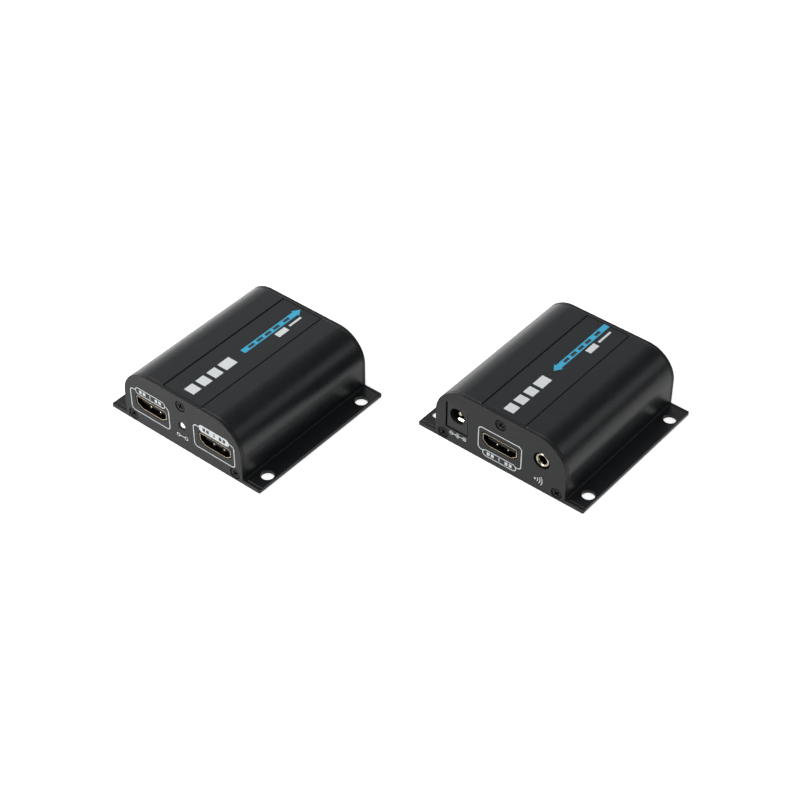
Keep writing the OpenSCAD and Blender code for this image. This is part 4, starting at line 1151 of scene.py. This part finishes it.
def build_board_parts():
    """The circuit boards and what is soldered to them, all inside the boxes."""
    for box in BOXES:
        for node, name, rim in BOARD_PARTS:
            dress(f"{box}_{node}", name, rim)


# Stage

LENS_MM = 88.449
SENSOR_MM = 36.0
CAMERA_AT = (0.33610, -0.40971, 0.47220)
CAMERA_TURN = (radians(48.603), 0.0, radians(39.365))
# Square soft lights that face the set's middle: name, place, watts
LIGHTS = (
    ("Key", (-0.55, -0.75, 0.75), 10.0),
    ("Top", (0.1, -0.1, 1.0), 2.0),
    ("Shoulder", (0.83, 0.75, 0.64), 0.8),
)
LIGHT_SIZE = 0.5
LIGHT_AIM = Vector((0, 0, 0.01))
FLOOR_HALF = 3.0
# How far the floor lies below the set, so that their faces don't meet
FLOOR_DROP = 0.00005


def add_camera(scene):
    """The camera at the photograph's place."""
    data = bpy.data.cameras.new("Camera")
    data.sensor_width = SENSOR_MM
    data.lens = LENS_MM
    data.clip_start, data.clip_end = 0.01, 20
    camera = bpy.data.objects.new("Camera", data)
    camera.location = CAMERA_AT
    camera.rotation_euler = CAMERA_TURN
    scene.collection.objects.link(camera)
    scene.camera = camera


def add_floor(scene):
    """Matte paper that the camera sees as white, and that keeps the set's shadow."""
    mesh = bpy.data.meshes.new("Floor")
    corners = [(x, y, 0) for x, y in rectangle(-FLOOR_HALF, FLOOR_HALF, -FLOOR_HALF, FLOOR_HALF)]
    mesh.from_pydata(corners, [], [(0, 1, 2, 3)])
    floor = bpy.data.objects.new("Floor", mesh)
    floor.location.z = -FLOOR_DROP
    scene.collection.objects.link(floor)
    mat, tree, shader = new_material("Paper_backdrop_matte", {"Roughness": 0.9, "Specular IOR Level": 0.1,
                                                              "Base Color": linear("#f2f2f2")})
    path = add(tree, "LightPath").outputs
    # In reflections the paper is brighter behind the boxes on the left than between and beside them
    way = add(tree, "TexCoord").outputs["Object"]
    behind = add(tree, "VectorMath", {1: (-1.0, 1.0, 0.0)}, {0: way},
                 operation="DOT_PRODUCT").outputs["Value"]
    mirrored = add(tree, "MapRange", {"From Min": 0.06, "From Max": 0.2, "To Min": 0.2, "To Max": 1.0},
                   {"Value": behind}).outputs["Result"]
    seen = add(tree, "Math", {}, {0: path["Is Glossy Ray"], 1: mirrored}, operation="MULTIPLY").outputs[0]
    for ray, level in (("Is Transmission Ray", 0.2), ("Is Camera Ray", 0.62)):
        seen = add(tree, "Math", {1: level}, {0: path[ray], 2: seen}, operation="MULTIPLY_ADD").outputs[0]
    glow = add(tree, "Emission", {"Color": (1, 1, 1, 1)}, {"Strength": seen})
    both = add(tree, "AddShader", {}, {0: shader.outputs[0], 1: glow.outputs[0]})
    tree.links.new(both.outputs[0], tree.nodes["Material Output"].inputs["Surface"])
    mesh.materials.append(mat)


def add_world(scene):
    """An even pale studio, white to the camera."""
    world = bpy.data.worlds.new("Studio")
    world.use_nodes = True
    scene.world = world
    tree = world.node_tree
    # In reflections the studio is white at the left and near the floor, and dark up on the right
    way = add(tree, "TexCoord").outputs["Generated"]
    side = add(tree, "VectorMath", {1: (-0.75, 0.1, -0.65)}, {0: way},
               operation="DOT_PRODUCT").outputs["Value"]
    mirrored = add(tree, "MapRange", {"From Min": -0.45, "From Max": 0.85, "To Min": 0.08, "To Max": 1.3},
                   {"Value": side}).outputs["Result"]
    path = add(tree, "LightPath").outputs
    shiny = add(tree, "Math", {}, {0: path["Is Glossy Ray"], 1: path["Is Transmission Ray"]},
                operation="MAXIMUM").outputs[0]
    level = add(tree, "Mix", {2: 0.35}, {0: shiny, 3: mirrored}).outputs[0]
    level = add(tree, "Mix", {3: 1.0}, {0: path["Is Camera Ray"], 2: level}).outputs[0]
    tree.links.new(level, tree.nodes["Background"].inputs["Strength"])
    tree.nodes["Background"].inputs["Color"].default_value = (1, 1, 1, 1)


def build_stage():
    """Pale floor, plain studio light and the photograph's camera."""
    scene = bpy.context.scene
    add_camera(scene)
    add_floor(scene)
    add_world(scene)
    for name, place, power in LIGHTS:
        data = bpy.data.lights.new(name, "AREA")
        data.size = LIGHT_SIZE
        data.energy = power
        lamp = bpy.data.objects.new(name, data)
        lamp.location = place
        lamp.rotation_euler = (LIGHT_AIM - Vector(place)).to_track_quat("-Z", "Y").to_euler()
        scene.collection.objects.link(lamp)
    scene.view_settings.view_transform = "Standard"


# Add-on


class EXTENDER_OT_stage(bpy.types.Operator):
    """Adds the pale floor, the studio light and the camera"""

    bl_idname = "extender.stage"
    bl_label = "Stage"

    def execute(self, context):
        build_stage()
        return {"FINISHED"}


class EXTENDER_OT_housings(bpy.types.Operator):
    """Builds the two extrusions with their recess and flange holes"""

    bl_idname = "extender.housings"
    bl_label = "Housings"

    def execute(self, context):
        build_housings()
        return {"FINISHED"}


class EXTENDER_OT_panels(bpy.types.Operator):
    """Builds the four end panels with their openings"""

    bl_idname = "extender.panels"
    bl_label = "End Panels"

    def execute(self, context):
        build_panels()
        return {"FINISHED"}


class EXTENDER_OT_screws(bpy.types.Operator):
    """Builds the countersunk cross-recess screws"""

    bl_idname = "extender.screws"
    bl_label = "Panel Screws"

    def execute(self, context):
        build_screws()
        return {"FINISHED"}


class EXTENDER_OT_prints(bpy.types.Operator):
    """Builds the ink on the end panels"""

    bl_idname = "extender.prints"
    bl_label = "Panel Prints"

    def execute(self, context):
        build_prints()
        return {"FINISHED"}


class EXTENDER_OT_labels(bpy.types.Operator):
    """Builds the label films with their plain marks"""

    bl_idname = "extender.labels"
    bl_label = "Labels"

    def execute(self, context):
        build_labels()
        return {"FINISHED"}


class EXTENDER_OT_picture_sockets(bpy.types.Operator):
    """Builds the three picture sockets"""

    bl_idname = "extender.picture_sockets"
    bl_label = "Picture Sockets"

    def execute(self, context):
        build_picture_sockets()
        return {"FINISHED"}


class EXTENDER_OT_power_jacks(bpy.types.Operator):
    """Builds the two power jacks"""

    bl_idname = "extender.power_jacks"
    bl_label = "Power Jacks"

    def execute(self, context):
        build_power_jacks()
        return {"FINISHED"}


class EXTENDER_OT_infrared_jacks(bpy.types.Operator):
    """Builds the two infrared jacks"""

    bl_idname = "extender.infrared_jacks"
    bl_label = "Infrared Jacks"

    def execute(self, context):
        build_infrared_jacks()
        return {"FINISHED"}


class EXTENDER_OT_network_jacks(bpy.types.Operator):
    """Builds the two network jacks"""

    bl_idname = "extender.network_jacks"
    bl_label = "Network Jacks"

    def execute(self, context):
        build_network_jacks()
        return {"FINISHED"}


class EXTENDER_OT_lamp(bpy.types.Operator):
    """Builds the sender's link lamp"""

    bl_idname = "extender.lamp"
    bl_label = "Link Lamp"

    def execute(self, context):
        build_lamp()
        return {"FINISHED"}


class EXTENDER_OT_board_parts(bpy.types.Operator):
    """Finishes the circuit boards and what is soldered to them"""

    bl_idname = "extender.board_parts"
    bl_label = "Board Parts"

    def execute(self, context):
        build_board_parts()
        return {"FINISHED"}


OPERATORS = (
    EXTENDER_OT_stage,
    EXTENDER_OT_housings,
    EXTENDER_OT_panels,
    EXTENDER_OT_screws,
    EXTENDER_OT_prints,
    EXTENDER_OT_labels,
    EXTENDER_OT_picture_sockets,
    EXTENDER_OT_power_jacks,
    EXTENDER_OT_infrared_jacks,
    EXTENDER_OT_network_jacks,
    EXTENDER_OT_lamp,
    EXTENDER_OT_board_parts,
)


class EXTENDER_PT_panel(bpy.types.Panel):
    """Settings and building steps in the sidebar"""

    bl_label = "Extender Set"
    bl_space_type = "VIEW_3D"
    bl_region_type = "UI"
    bl_category = "Extender"

    def draw(self, context):
        for group in (context.scene.extender_sizes, context.scene.extender_colours):
            for key in group.__annotations__:
                self.layout.prop(group, key)
        for cls in OPERATORS:
            self.layout.operator(cls.bl_idname)


CLASSES = (ExtenderSizes, ExtenderColours, *OPERATORS, EXTENDER_PT_panel)


def register():
    """Registers the settings, the operators and the panel."""
    for cls in CLASSES:
        bpy.utils.register_class(cls)
    bpy.types.Scene.extender_sizes = PointerProperty(type=ExtenderSizes)
    bpy.types.Scene.extender_colours = PointerProperty(type=ExtenderColours)


def unregister():
    """Removes what register() added."""
    del bpy.types.Scene.extender_sizes
    del bpy.types.Scene.extender_colours
    for cls in reversed(CLASSES):
        bpy.utils.unregister_class(cls)


def main():
    register()
    bpy.ops.extender.stage()
    bpy.ops.extender.housings()
    bpy.ops.extender.panels()
    bpy.ops.extender.screws()
    bpy.ops.extender.prints()
    bpy.ops.extender.labels()
    bpy.ops.extender.picture_sockets()
    bpy.ops.extender.power_jacks()
    bpy.ops.extender.infrared_jacks()
    bpy.ops.extender.network_jacks()
    bpy.ops.extender.lamp()
    bpy.ops.extender.board_parts()


if __name__ == "__main__":
    main()
